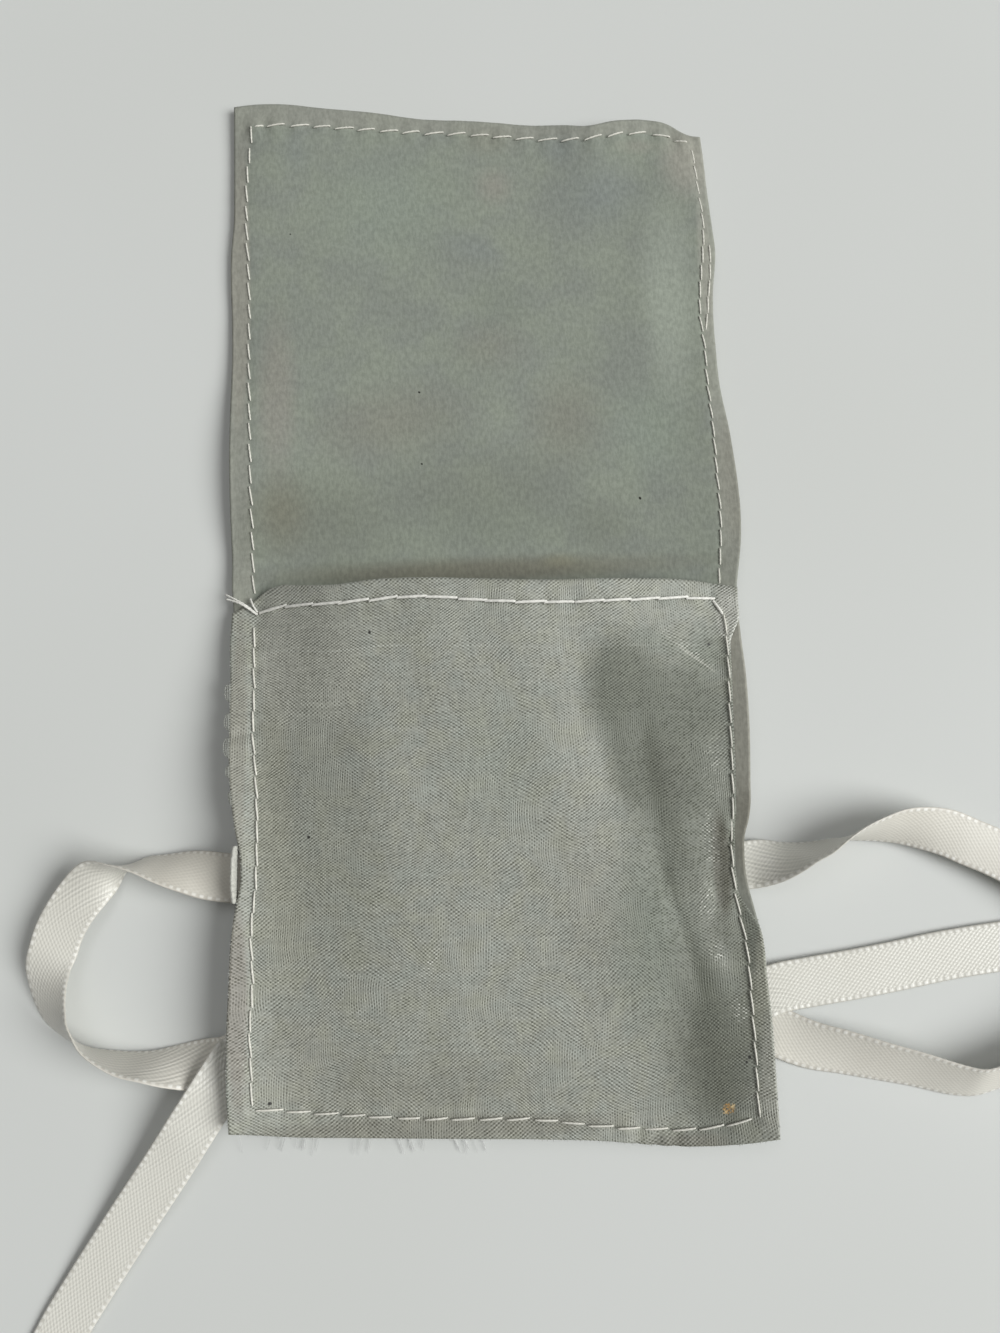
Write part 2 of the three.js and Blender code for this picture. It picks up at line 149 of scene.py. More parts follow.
# The raw edges, left and right as (y, x), the others as (x, y)
left_edge = through(
    (-69.7, -34.56), (-65.3, -34.67), (-57.3, -34.62), (-52.1, -34.39), (-46.9, -34.18), (-43.6, -33.86),
    (-41.1, -33.42), (-39.2, -33.09), (-37.3, -33.06), (-34.8, -33.27), (-33.2, -33.64), (-30.9, -34.03),
    (-25.7, -34.67), (-17.6, -34.98), (-12.3, -35.05), (-6.4, -35.31), (-1.4, -35.14), (0.7, -35.34),
    (4.8, -35.43), (12.2, -35.57), (21.1, -35.68), (31.0, -35.67), (35.5, -35.65), (41.8, -35.75),
    (46.7, -35.93), (52.2, -35.94), (58.1, -35.50), (62.1, -35.52), (68.0, -35.56), (76.8, -35.55),
)
right_edge = through(
    (-73.0, 34.22), (-69.5, 34.32), (-64.5, 34.38), (-59.3, 34.40), (-53.9, 34.19), (-49.1, 34.06),
    (-44.4, 33.32), (-41.9, 32.85), (-39.9, 32.67), (-38.0, 32.69), (-35.1, 32.98), (-33.7, 33.45),
    (-31.6, 33.87), (-28.5, 34.09), (-21.0, 34.55), (-13.5, 34.68), (-8.4, 34.52), (-2.2, 34.61),
    (1.7, 35.33), (5.1, 35.94), (13.4, 36.24), (21.0, 35.70), (29.2, 34.75), (35.3, 34.63), (42.7, 34.90),
    (49.6, 35.68), (53.1, 35.46), (58.8, 35.15), (67.1, 34.93), (68.2, 34.86),
)
bottom_edge = through(
    (-34.6, -69.66), (-26.2, -70.80), (-19.6, -71.15), (-12.5, -71.49), (-4.5, -71.86), (4.9, -72.28),
    (13.1, -72.84), (17.5, -73.38), (24.0, -73.85), (30.6, -73.56), (34.2, -72.98),
)
top_edge = through(
    (-35.5, 76.76), (-33.2, 76.97), (-28.5, 76.84), (-22.2, 75.83), (-13.9, 74.71), (-7.4, 73.45),
    (0.3, 72.69), (4.9, 72.13), (8.2, 71.65), (13.9, 71.05), (18.5, 70.30), (21.4, 70.98), (24.2, 71.48),
    (27.0, 71.61), (30.4, 70.76), (32.7, 68.97), (34.9, 68.24),
)
mouth_edge = through(
    (-35.0, -2.90), (-32.0, -1.14), (-30.4, -0.03), (-28.7, 0.42), (-25.2, 0.01), (-19.9, -0.52),
    (-14.8, -0.20), (-11.3, -0.22), (-7.2, -0.39), (-1.3, -0.73), (4.7, -1.13), (15.4, -1.26),
    (20.9, -1.18), (26.6, -1.12), (29.5, -1.23), (32.3, -1.67), (34.7, -2.28),
)

# The seams, in the same way
left_seam = through(
    (-66.5, -31.78), (-61.9, -31.82), (-57.7, -31.97), (-51.4, -31.58), (-44.9, -31.79), (-40.7, -31.33),
    (-32.2, -31.13), (-23.6, -31.55), (-19.7, -31.95), (-15.3, -31.87), (-9.6, -32.00), (-2.3, -32.13),
    (1.3, -32.37), (3.9, -32.48), (7.3, -32.47), (10.4, -32.47), (13.7, -32.55), (16.9, -32.68),
    (20.0, -32.68), (23.2, -32.77), (26.6, -32.85), (29.9, -32.95), (32.8, -33.02), (36.0, -33.13),
    (39.0, -33.11), (42.1, -33.07), (45.3, -33.16), (48.3, -33.21), (51.5, -33.31), (54.5, -33.48),
    (58.0, -33.54), (61.4, -33.54), (64.8, -33.46), (68.5, -33.08), (72.6, -32.70),
)
right_seam = through(
    (-70.5, 31.95), (-63.9, 32.12), (-56.6, 32.12), (-49.2, 31.96), (-42.7, 31.05), (-38.6, 30.92),
    (-31.5, 31.57), (-26.9, 31.83), (-20.0, 32.07), (-12.0, 32.47), (-5.7, 32.49), (-1.1, 32.39),
    (2.3, 32.84), (8.2, 33.40), (13.4, 33.39), (20.2, 33.37), (27.0, 33.13), (30.4, 33.02), (33.8, 33.07),
    (36.7, 32.87), (39.4, 32.78), (41.7, 32.87), (44.8, 33.21), (47.6, 33.61), (50.0, 33.92), (52.1, 34.10),
    (55.2, 34.12), (59.2, 33.80), (61.5, 33.69), (65.9, 33.48),
)
second_seam = through((37.0, 33.4), (39.7, 33.9), (42.4, 34.2), (45.1, 34.6), (47.4, 34.8), (50.2, 34.9))
bottom_seam = through(
    (-31.7, -66.95), (-26.0, -67.82), (-17.2, -68.75), (-8.7, -69.37), (-1.9, -69.64), (3.9, -69.91),
    (11.9, -70.99), (18.9, -71.66), (24.6, -71.83), (27.9, -71.47), (31.3, -70.72),
)
top_seam = through(
    (-31.8, 73.09), (-29.0, 72.86), (-25.5, 72.68), (-22.3, 72.43), (-18.4, 72.00), (-15.0, 71.61),
    (-11.5, 71.23), (-8.3, 70.92), (-4.6, 70.56), (-0.8, 70.33), (2.2, 69.84), (5.5, 69.45), (8.7, 69.04),
    (12.3, 68.67), (15.7, 68.20), (18.9, 68.21), (22.4, 68.77), (26.0, 69.15), (29.2, 68.76), (31.8, 67.51),
    (33.6, 66.95),
)
mouth_seam = through(
    (-32.0, -2.59), (-29.8, -2.35), (-27.7, -2.26), (-23.1, -2.61), (-17.9, -2.79), (-13.1, -2.54),
    (-5.6, -2.82), (-1.4, -3.36), (4.6, -3.84), (15.2, -3.95), (20.7, -3.77), (27.5, -3.31), (31.4, -3.49),
    (32.5, -5.59),
)


class Seam:
    """A row of equal stitches along a seam, from its start to its end.

    An upright seam runs along y, and its curve gives x. In shares of a stitch, gap is the space
    between two stitches, slant how far apart a stitch's ends stand across the seam, and trim how
    much of the first and of the last stitch is left off. Gather is how strongly the cloth is
    drawn up beside the seam."""

    def __init__(self, curve, upright, start, end, count, gap, slant, gather=0.2, trim=(0.0, 0.0)):
        self.curve, self.upright, self.start, self.end = curve, upright, start, end
        self.count, self.gap, self.slant, self.gather, self.trim = count, gap, slant, gather, trim

    def place(self, marks):
        """Places on the seam for marks counted in stitches from its start."""
        along = self.start + (self.end - self.start) * marks / self.count
        pair = (self.curve(along), along)
        return np.stack(pair if self.upright else pair[::-1], -1)

    def ends(self):
        """Start and end of each stitch, the row's gap apart and askew by its slant."""
        marks = np.arange(self.count)[:, None] + np.array([self.gap / 2, 1 - self.gap / 2])
        marks[0, 0] += self.trim[0]
        marks[-1, 1] -= self.trim[1]
        jitter = RANDOM.normal(0, 0.03, marks.shape)
        ends = self.place(marks + jitter)
        heading = ends[:, 1] - ends[:, 0]
        aside = np.stack([-heading[:, 1], heading[:, 0]], -1)
        lean = self.slant + RANDOM.normal(0, 0.015, self.count)
        return ends + aside[:, None, :] * (lean[:, None] * np.array([-0.5, 0.5]))[..., None]

    def pucker(self, x, y, depth):
        """Height of the cloth at the seam: a pit at each gap between stitches, and gathers beside it."""
        across, along = (x, y) if self.upright else (y, x)
        mark = (along - self.start) / (self.end - self.start) * self.count
        within = smooth(mark + 0.6) * smooth(self.count + 0.6 - mark)
        off = across - self.curve(along)
        between = np.cos(2 * math.pi * mark)
        pit = (0.5 + 0.5 * between) ** 2 * bump(off, 0, 0.45) + 0.3 * bump(off, 0, 0.8)
        gathers = self.gather * between * bump(off, 0, 1.7)
        return -within * (depth * pit + gathers * 0.3)


POCKET_SEAMS = {
    "left": Seam(left_seam, True, -4.6, -66.6, 21, 0.08, 0.07),
    "bottom": Seam(bottom_seam, False, -31.4, 31.2, 18, 0.17, 0.09),
    "right": Seam(right_seam, True, -70.6, -5.4, 21, 0.1, 0.07),
}
FLAP_SEAMS = {
    "left": Seam(left_seam, True, 73.1, 0.0, 23, 0.16, 0.12, 0.3),
    "top": Seam(top_seam, False, -34.1, 34.0, 20, 0.24, 0.19, 0.5, (0.42, 0.28)),
    "right": Seam(right_seam, True, -1.1, 66.2, 25, 0.16, 0.08, 0.2),
}
MOUTH_SEAM = Seam(mouth_seam, False, -31.2, 31.3, 16, 0.0, 0.045)
SECOND_SEAM = Seam(second_seam, True, 37.0, 50.2, 5, 0.08, 0.05)

# How high the back's raw edges stand off the table, as (y, height)
left_lift = through(
    (-74, 2.2), (-70, 3.0), (-66, 3.9), (-61, 4.3), (-56, 4.5), (-38, 4.5), (-33, 4.2), (-28.5, 3.8),
    (-24.5, 3.2), (-20.5, 2.7), (-16.5, 2.1), (-12.5, 1.6), (-8.5, 1.0), (-4.5, 0.5), (1, 0.4), (4, 0.3),
    (8, 0.8), (13, 1.3), (20, 1.5), (27, 1.1), (34, 0.4), (41, 0.1), (76, 0.05),
)
right_lift = through((-74, 3.0), (-12, 3.2), (-5, 2.6), (2, 1.6), (10, 1.3), (45, 1.0), (76, 0.6))


def lift(x, y):
    """Height of the back over the table: none in the middle, a square law to each raw edge.

    The flap's end rises most a little right of its middle, by a bell; the pocket's rises evenly."""
    side = np.maximum(0, (np.abs(x) - FLAT_HALF_WIDTH) / (HALF - FLAT_HALF_WIDTH)) ** 2
    tip = TIP_RISE * bump(x, 19, 7) + 0.3
    top = tip * np.maximum(0, (y - top_edge(x) + END_CURL_REACH) / END_CURL_REACH) ** 2
    bottom = BOTTOM_RISE * np.maximum(0, (bottom_edge(x) + END_CURL_REACH - y) / END_CURL_REACH) ** 2
    return np.hypot(side * np.where(x < 0, left_lift(y), right_lift(y)), np.where(y > 0, top, bottom))


def waves(x, y, size, seed):
    """Slow unevenness of lying cloth: six sine waves in seeded directions, from -size to size."""
    draw = np.random.default_rng(seed)
    total = 0
    for _ in range(6):
        turn, length, phase = draw.uniform(0, math.pi), draw.uniform(9, 26), draw.uniform(0, 6.3)
        total = total + np.sin((x * math.cos(turn) + y * math.sin(turn)) * 2 * math.pi / length + phase)
    return size * total / 6


def past_seams(x, y, low, high):
    """Distance outside the box of seams, negative inside it."""
    across = np.maximum(left_seam(y) - x, x - right_seam(y))
    return np.maximum(across, np.maximum(low(x) - y, y - high(x)))


def puff(x, y):
    """How far the front stands off the back: a pillow, open at the mouth.

    It falls off by a fourth power to each side, and by a fifth power to the bottom seam."""
    across = (1 - np.minimum(1, np.abs(x) / PUFF_HALF_WIDTH) ** 4) ** 1.5
    reach = -(bottom_edge(x) + BOTTOM_SEAM_INSET)
    along = 1 - np.minimum(1, np.maximum(0, -y) / reach) ** 5
    return PUFF * across * along


def ridge(x, y, start, end, reach):
    """A long bell round the line from start to end, fading at its ends."""
    (ax, ay), (bx, by) = start, end
    length = math.hypot(bx - ax, by - ay)
    along = ((x - ax) * (bx - ax) + (y - ay) * (by - ay)) / length
    across = ((x - ax) * (by - ay) - (y - ay) * (bx - ax)) / length
    past = np.maximum(0, np.maximum(-along, along - length))
    return bump(across, 0, reach) * bump(past, 0, reach * 1.5)


def pressed(x, y):
    """How much of its thickness the flap keeps: all inside its seams, less at its raw edges."""
    edge = smooth((past_seams(x, y, bottom_seam, top_seam) + 0.8) / 3.8)
    return 1 - 0.35 * edge * smooth((y - 2) / 6)


# Dents and ridges of the pocket front: start, end, reach, height
FRONT_FOLDS = (
    ((13.0, -9.0), (17.6, -25.0), 5.0, -0.55),
    ((19.8, -22.0), (21.2, -39.0), 1.6, -0.4),
    ((21.5, -40.0), (25.5, -54.0), 1.0, -0.45),
    ((24.9, -58.0), (25.6, -68.0), 3.2, -0.9),
    ((25.0, -34.0), (28.8, -52.0), 1.7, 0.35),
    ((29.6, -34.0), (29.2, -44.5), 1.0, -0.5),
    ((22.2, -7.9), (31.6, -14.8), 0.35, 0.18),
    ((14.6, -48.7), (20.4, -46.2), 0.5, 0.14),
)
# Creases of the margins outside the seams
MARGIN_FOLDS = (
    ((33.3, -31.0), (30.9, -36.0), 0.5, -0.5),
    ((33.4, -32.8), (32.0, -37.0), 0.35, 0.35),
    ((32.9, -40.0), (31.6, -43.5), 0.4, -0.3),
    ((16.4, -74.2), (17.0, -71.8), 0.5, -0.4),
    ((18.6, -74.6), (19.2, -72.2), 0.5, -0.45),
    ((21.2, -74.6), (21.6, -72.6), 0.5, -0.4),
    ((-34.8, -20.0), (-32.2, -19.0), 0.6, -0.25),
)


def creases(x, y, folds):
    """The heights of all the folds together."""
    return sum(height * ridge(x, y, *line) for *line, height in folds)


def front_top(x, y):
    """Upper face of the pocket front: the back's height, the pillow, its folds and its seams.

    A smooth step marks the hem under it, and six slow sine waves make it uneven."""
    inside = puff(x, y) / PUFF
    below = mouth_edge(x) - y
    hem = HEM_STEP * (1 - smooth((below - HEM_DEPTH) / 0.5)) * np.minimum(1, inside * 3)
    seams = sum(seam.pucker(x, y, 0.12) for seam in POCKET_SEAMS.values()) + MOUTH_SEAM.pucker(x, y, 0.2)
    shape = creases(x, y, FRONT_FOLDS) * np.minimum(1, inside * 2.2) + waves(x, y, 0.28, 11) * inside
    return lift(x, y) + FRONT_TOP + puff(x, y) + shape + hem + seams + creases(x, y, MARGIN_FOLDS)


def back_relief(x, y):
    """Unevenness of back and flap, none under the table's level, with the seams' puckers.

    Six slow sine waves run over the flap, and a bell raises it near the right of its tip."""
    flap = smooth((y - 2) / 10) * smooth((x + 36) / 8)
    bell = 0.5 * bump(x, 31, 5) * bump(y, 57, 9)
    rise = (0.3 + waves(x, y, 0.22, 5) + bell) * flap
    seams = sum(seam.pucker(x, y, 0.09) for seam in FLAP_SEAMS.values())
    return np.maximum(rise + seams * smooth((y + 1) / 3), -lift(x, y))


def lining_top(x, y):
    """Upper face of the lining."""
    return lift(x, y) + back_relief(x, y) + LINING_TOP * pressed(x, y)


def cover_under(x, y):
    """Under face of the cover."""
    return lift(x, y) + back_relief(x, y)


# Meshes
def unit(vectors):
    """Vectors brought to length 1."""
    return vectors / np.maximum(1e-9, np.linalg.norm(vectors, axis=1))[:, None]


def run_of(points):
    """How far along a line each of its points lies."""
    return np.concatenate([[0], np.cumsum(np.linalg.norm(np.diff(points, axis=0), axis=1))])


def marks_on(run, spacing):
    """Marks from a run's start to its end, at a spacing as near as it can be even."""
    return np.linspace(0, run[-1], max(2, round(run[-1] / spacing) + 1))


def sampled(marks, run, values):
    """Values at the marks, each column by itself."""
    return np.stack([np.interp(marks, run, column) for column in values.T], 1)


def steps(*stretches):
    """Fractions of a side from (length, spacing) stretches, each evenly divided."""
    total = sum(length for length, _ in stretches)
    marks, start = [0.0], 0.0
    for length, spacing in stretches:
        count = max(1, round(length / spacing))
        marks += [start + length * (k + 1) / count for k in range(count)]
        start += length
    return np.array(marks) / total


def plan(us, vs, low, high, left=left_edge, right=right_edge):
    """Places inside an outline: u from its left edge to its right, v from its low edge to its high.

    The edges are curves, so x and y are worked out from each other twice."""
    u, v = np.meshgrid(us, vs)
    y = low(np.full_like(u, -HALF)) * (1 - v) + high(np.full_like(u, -HALF)) * v
    for _ in range(2):
        x = left(y) * (1 - u) + right(y) * u
        y = low(x) * (1 - v) + high(x) * v
    return x, y


def grid_faces(rows, columns):
    """Four-cornered faces of a grid of rows by columns points."""
    k = (np.arange(rows - 1)[:, None] * columns + np.arange(columns - 1)).ravel()
    return np.stack([k, k + 1, k + columns + 1, k + columns], 1)


def rounds(rows, around):
    """Numbers of the points of a tube's rings but the last, and of the next point round each ring."""
    start = np.arange(rows - 1)[:, None] * around
    place = np.arange(around)
    return start + place, start + (place + 1) % around


def new_mesh(name, points, faces, uv=None, attributes=None, materials=(), slots=None):
    """A mesh object from points in metres, faces, a flat pattern in millimetres and named values."""
    mesh = bpy.data.meshes.new(name)
    mesh.from_pydata(np.asarray(points).tolist(), [], [list(map(int, f)) for f in faces])
    for material in materials:
        mesh.materials.append(material)
    if slots is not None:
        mesh.polygons.foreach_set("material_index", np.asarray(slots, np.int32))
    if uv is not None:
        loops = np.zeros(len(mesh.loops), np.int32)
        mesh.loops.foreach_get("vertex_index", loops)
        layer = mesh.uv_layers.new(name="pattern")
        layer.data.foreach_set("uv", np.asarray(uv, np.float32)[loops].ravel())
    for key, values in (attributes or {}).items():
        layer = mesh.attributes.new(key, "FLOAT", "POINT")
        layer.data.foreach_set("value", np.asarray(values, np.float32).ravel())
    mesh.polygons.foreach_set("use_smooth", np.ones(len(mesh.polygons), bool))
    mesh.update()
    made = bpy.data.objects.new(name, mesh)
    bpy.context.scene.collection.objects.link(made)
    return made


def cloth_shell(name, x, y, bottom, top, material, attributes=None):
    """A closed ply on one grid of places, with its lower and upper heights and its rim."""
    rows, columns = x.shape
    count = x.size
    points = np.concatenate([np.stack([x, y, z], -1).reshape(-1, 3) for z in (top, bottom)])
    k = np.arange(count).reshape(rows, columns)
    rim = np.concatenate([k[0, :-1], k[:-1, -1], k[-1, :0:-1], k[:0:-1, 0]])
    after = np.roll(rim, -1)
    faces = np.concatenate([grid_faces(rows, columns), grid_faces(rows, columns)[:, ::-1] + count,
                            np.stack([rim, rim + count, after + count, after], 1)])
    flat = np.tile(np.stack([x, y], -1).reshape(-1, 2), (2, 1))
    named = {key: np.tile(value.ravel(), 2) for key, value in (attributes or {}).items()}
    return new_mesh(name, placed(points), faces, flat, named, [material])


def swept(points, radii):
    """A thread along points: rings of the given radii, lobed in two plies that twist along it."""
    along = unit(np.gradient(points, axis=0))
    side = unit(np.cross(along, (0.0, 0.0, 1.0)))
    over = np.cross(side, along)
    angle = np.linspace(0, 2 * math.pi, THREAD_SIDES, endpoint=False)
    lobes = 1 + 0.2 * np.cos(2 * (angle[None, :] - PLY_TWIST * run_of(points)[:, None]))
    radius = np.asarray(radii)[:, None] * lobes
    ring = (points[:, None, :] + side[:, None, :] * (radius * np.cos(angle))[..., None]
            + over[:, None, :] * (radius * np.sin(angle))[..., None])
    k, n = rounds(len(points), THREAD_SIDES)
    faces = np.stack([k, n, n + THREAD_SIDES, k + THREAD_SIDES], -1).reshape(-1, 4).tolist()
    last = (len(points) - 1) * THREAD_SIDES
    faces += [list(range(THREAD_SIDES))[::-1], list(range(last, last + THREAD_SIDES))]
    return ring.reshape(-1, 3), faces


def joined(name, parts, material):
    """One mesh object from many (points, faces) parts in millimetres."""
    points, faces, start = [], [], 0
    for ring, shape in parts:
        points.append(ring)
        faces += [[int(i) + start for i in face] for face in shape]
        start += len(ring)
    return new_mesh(name, placed(np.concatenate(points)), faces, materials=[material])


def stitched(name, ends, height, diameter, material, face=1.0, sink=0.5, bare=0.0, proud=0.34, sunk=None):
    """Stitches between given ends, pulled straight, each end dipping into its hole.

    A stitch keeps to the straight line between its ends at the cloth's height half way, but for
    its first and last tenth, where it sinks by a root of a half sine. Its start lies a little
    deeper than its end. Face is 1 for the upper side and -1 for the far side. Sink is how deep
    an end lies in the cloth and proud how far the axis lies over it half way, in diameters.
    Bare is the least share of its full swell that an end keeps, and sunk is a further depth in
    millimetres by place."""
    t = 0.5 - 0.5 * np.cos(np.linspace(0, math.pi, 15))
    half_way = len(t) // 2
    flat = np.sin(math.pi * t) ** 0.4 * (0.84 + 0.16 * smooth(2.5 * t))
    flat[[0, -1]] = 0.0
    parts = []
    for start, end in ends:
        x, y = (start + (end - start) * t[:, None]).T
        first, middle, last = height(x, y)[[0, half_way, -1]]
        line = middle + (last - first) * (t - 0.5)
        rise = diameter * (-sink + (sink + proud + RANDOM.uniform(-0.06, 0.06)) * flat)
        if sunk:
            rise = rise - sunk(x[half_way], y[half_way])
        radii = diameter / 2 * (0.66 + 0.34 * np.maximum(flat, bare))
        parts.append(swept(np.stack([x, y, line + face * rise], 1), radii))
    return joined(name, parts, material)


def strands(name, roots, tips, radius, material, taper=0.6):
    """Fine fibres from lists of roots to tips: straight, three-sided, thinning to the tip by the taper."""
    roots, along = np.concatenate(roots), np.concatenate(tips) - np.concatenate(roots)
    t = np.linspace(0, 1, 4)[None, :, None]
    line = roots[:, None] + along[:, None] * t
    side = unit(np.cross(along, (0.0, 0.0, 1.0)))
    over = np.cross(side, unit(along))
    angle = np.array([0, 2, 4]) * math.pi / 3
    ring = side[:, None, None] * np.cos(angle)[:, None] + over[:, None, None] * np.sin(angle)[:, None]
    points = line[:, :, None] + ring * (radius * (1 - taper * t))[..., None]
    k, n = rounds(4, 3)
    faces = []
    for shape in np.stack([k, n, n + 3, k + 3], -1).reshape(-1, 4), np.array([[2, 1, 0], [9, 10, 11]]):
        shapes = shape + (np.arange(len(roots)) * 12)[:, None, None]
        faces += shapes.reshape(-1, shape.shape[1]).tolist()
    return new_mesh(name, placed(points.reshape(-1, 3)), faces, materials=[material])


# Shader nodes
BEAD_PITCH = 0.95  # beads of the ribbons' selvedges
ROW_PITCH = 0.46  # rows of the satin's floats
WARP_PITCH = 0.31
WEFT_PITCH = 0.215
ORIGIN = (0, 0, 0)


class Tree:
    """Puts nodes into one node tree and joins them, an input being a value or a socket."""

    def __init__(self, tree):
        self.tree = tree

    def put(self, kind, *values, **settings):
        """A new node, with values for its first inputs."""
        made = self.tree.nodes.new("ShaderNode" + kind)
        for key, value in settings.items():
            setattr(made, key, value)
        for socket, value in zip(made.inputs, values):
            self.feed(socket, value)
        return made

    def feed(self, socket, value):
        if isinstance(value, bpy.types.NodeSocket):
            self.tree.links.new(value, socket)
        elif value is not None:
            socket.default_value = value

    def math(self, operation, a, b=0.0, c=0.0):
        return self.put("Math", a, b, c, operation=operation).outputs[0]

    def times(self, first, *others):
        for other in others:
            first = self.math("MULTIPLY", first, other)
        return first

    def minus(self, a, b):
        return self.math("SUBTRACT", a, b)

    def vector(self, operation, a, b=ORIGIN):
        made = self.put("VectorMath", a, b, operation=operation)
        return made.outputs["Value" if operation == "LENGTH" else "Vector"]

    def range(self, value, low, high, to_low=0.0, to_high=1.0):
        """A smooth step of the value from one range to another."""
        made = self.put("MapRange", value, low, high, to_low, to_high, interpolation_type="SMOOTHSTEP")
        return made.outputs["Result"]

    def mix(self, share, a, b, blend="MIX"):
        """Colour a with a share of colour b over it."""
        made = self.put("Mix", data_type="RGBA", blend_type=blend)
        for socket, value in ((made.inputs[0], share), (made.inputs[6], a), (made.inputs[7], b)):
            self.feed(socket, value)
        return made.outputs[2]

    def noise(self, place, scale, detail=2.0, roughness=0.5):
        return self.put("TexNoise", place, None, scale, detail, roughness).outputs["Fac"]

    def attribute(self, name):
        return self.put("Attribute", attribute_name=name).outputs["Fac"]

    def group(self, tree, **values):
        made = self.put("Group", node_tree=tree)
        for key, value in values.items():
            self.feed(made.inputs[key], value)
        return made.outputs


def new_group(name, inputs, outputs):
    """A node group that takes named vectors and values, and puts out named values."""
    tree = bpy.data.node_groups.new(name, "ShaderNodeTree")
    for label, default in inputs.items():
        kind = "NodeSocketVector" if isinstance(default, tuple) else "NodeSocketFloat"
        tree.interface.new_socket(label, in_out="INPUT", socket_type=kind).default_value = default
    for label in outputs:
        tree.interface.new_socket(label, in_out="OUTPUT", socket_type="NodeSocketFloat")
    ins = tree.nodes.new("NodeGroupInput").outputs
    outs = tree.nodes.new("NodeGroupOutput").inputs
    return tree, Tree(tree), ins, outs


def linear(red, green, blue):
    """A colour as seen, 0 to 255, in the values that a shader takes."""
    def channel(c):
        """A straight line near black, and a power of 2.4 above it."""
        c /= 255
        return c / 12.92 if c <= 0.04045 else ((c + 0.055) / 1.055) ** 2.4
    return (channel(red), channel(green), channel(blue), 1.0)


def weave_group():
    """Plain weave: weft threads pass over and under warp threads, as sin(x) sin(y) over the cells.

    A lean of 0 shows both diagonals of the crossings alike, a lean to either side one of them
    more, and lines of 1 the warp threads alone."""
    tree, w, ins, outs = new_group("plain weave", {"Place": ORIGIN, "Lean": 0.0, "Lines": 0.0},
                                   ("Weft up", "Thread tone", "Glint"))
    cell = w.vector("DIVIDE", ins["Place"], (WARP_PITCH, WEFT_PITCH, 1))
    turned = [w.times(part, math.pi) for part in w.put("SeparateXYZ", cell).outputs[:2]]
    rising = w.times(w.math("COSINE", w.minus(*turned)), w.math("ADD", 0.5, ins["Lean"]))
    falling = w.times(w.math("COSINE", w.math("ADD", *turned)), w.minus(0.5, ins["Lean"]))
    crossing = w.times(w.minus(rising, falling), w.minus(1.0, ins["Lines"]))
    stripe = w.math("COSINE", w.times(turned[0], 2.0))
    wave = w.math("MULTIPLY_ADD", w.times(stripe, ins["Lines"]), 0.6, crossing)
    chance = w.put("TexWhiteNoise", w.vector("FLOOR", cell)).outputs["Value"]
    swell = w.range(w.noise(ins["Place"], 0.9, 2, 0.6), 0.3, 0.7, 0.5, 1.3)
    swell = w.times(swell, w.range(chance, 0.0, 1.0, 0.35, 1.75))
    w.feed(outs["Weft up"], w.math("MULTIPLY_ADD", w.times(wave, swell), 0.5, 0.5))
    slubs = [w.noise(w.vector("MULTIPLY", ins["Place"], stretch), 1.0, 1, 0.5)
             for stretch in ((0.25, 1.7, 1), (1.7, 0.25, 1))]
    w.feed(outs["Thread tone"], w.times(w.math("ADD", *slubs), 0.5))
    w.feed(outs["Glint"], chance)
    return tree


def nap_group():
    """Brushed nap: short fibres lying down the cloth, over slow blotches."""
    tree, w, ins, outs = new_group("brushed nap", {"Place": ORIGIN}, ("Height", "Fibre", "Blotch"))
    turned = w.put("Mapping", ins["Place"], ORIGIN, (0, 0, math.radians(7)), (2.3, 0.9, 1.0)).outputs[0]
    fibre = w.noise(turned, 1.0, 3, 0.65)
    grain = w.noise(ins["Place"], 1.3, 3, 0.6)
    w.feed(outs["Height"], w.math("MULTIPLY_ADD", grain, 0.5, fibre))
    w.feed(outs["Fibre"], w.math("MULTIPLY_ADD", w.minus(grain, 0.5), 0.6, fibre))
    w.feed(outs["Blotch"], w.noise(ins["Place"], 0.11, 4, 0.55))
    return tree


def patch_group():
    """A soft patch: 1 within its core, fading to 0 at its size along its own two sides."""
    inputs = {"Place": ORIGIN, "Centre": ORIGIN, "Size": (1, 1, 1), "Turn": 0.0, "Core": 0.0}
    tree, w, ins, outs = new_group("soft patch", inputs, ("Mask",))
    off = w.vector("SUBTRACT", ins["Place"], ins["Centre"])
    turned = w.put("VectorRotate", off, rotation_type="Z_AXIS")
    w.feed(turned.inputs["Angle"], w.times(ins["Turn"], -1.0))
    share = w.vector("DIVIDE", turned.outputs[0], ins["Size"])
    w.feed(outs["Mask"], w.range(w.vector("LENGTH", share), ins["Core"], 1.0, 1.0, 0.0))
    return tree


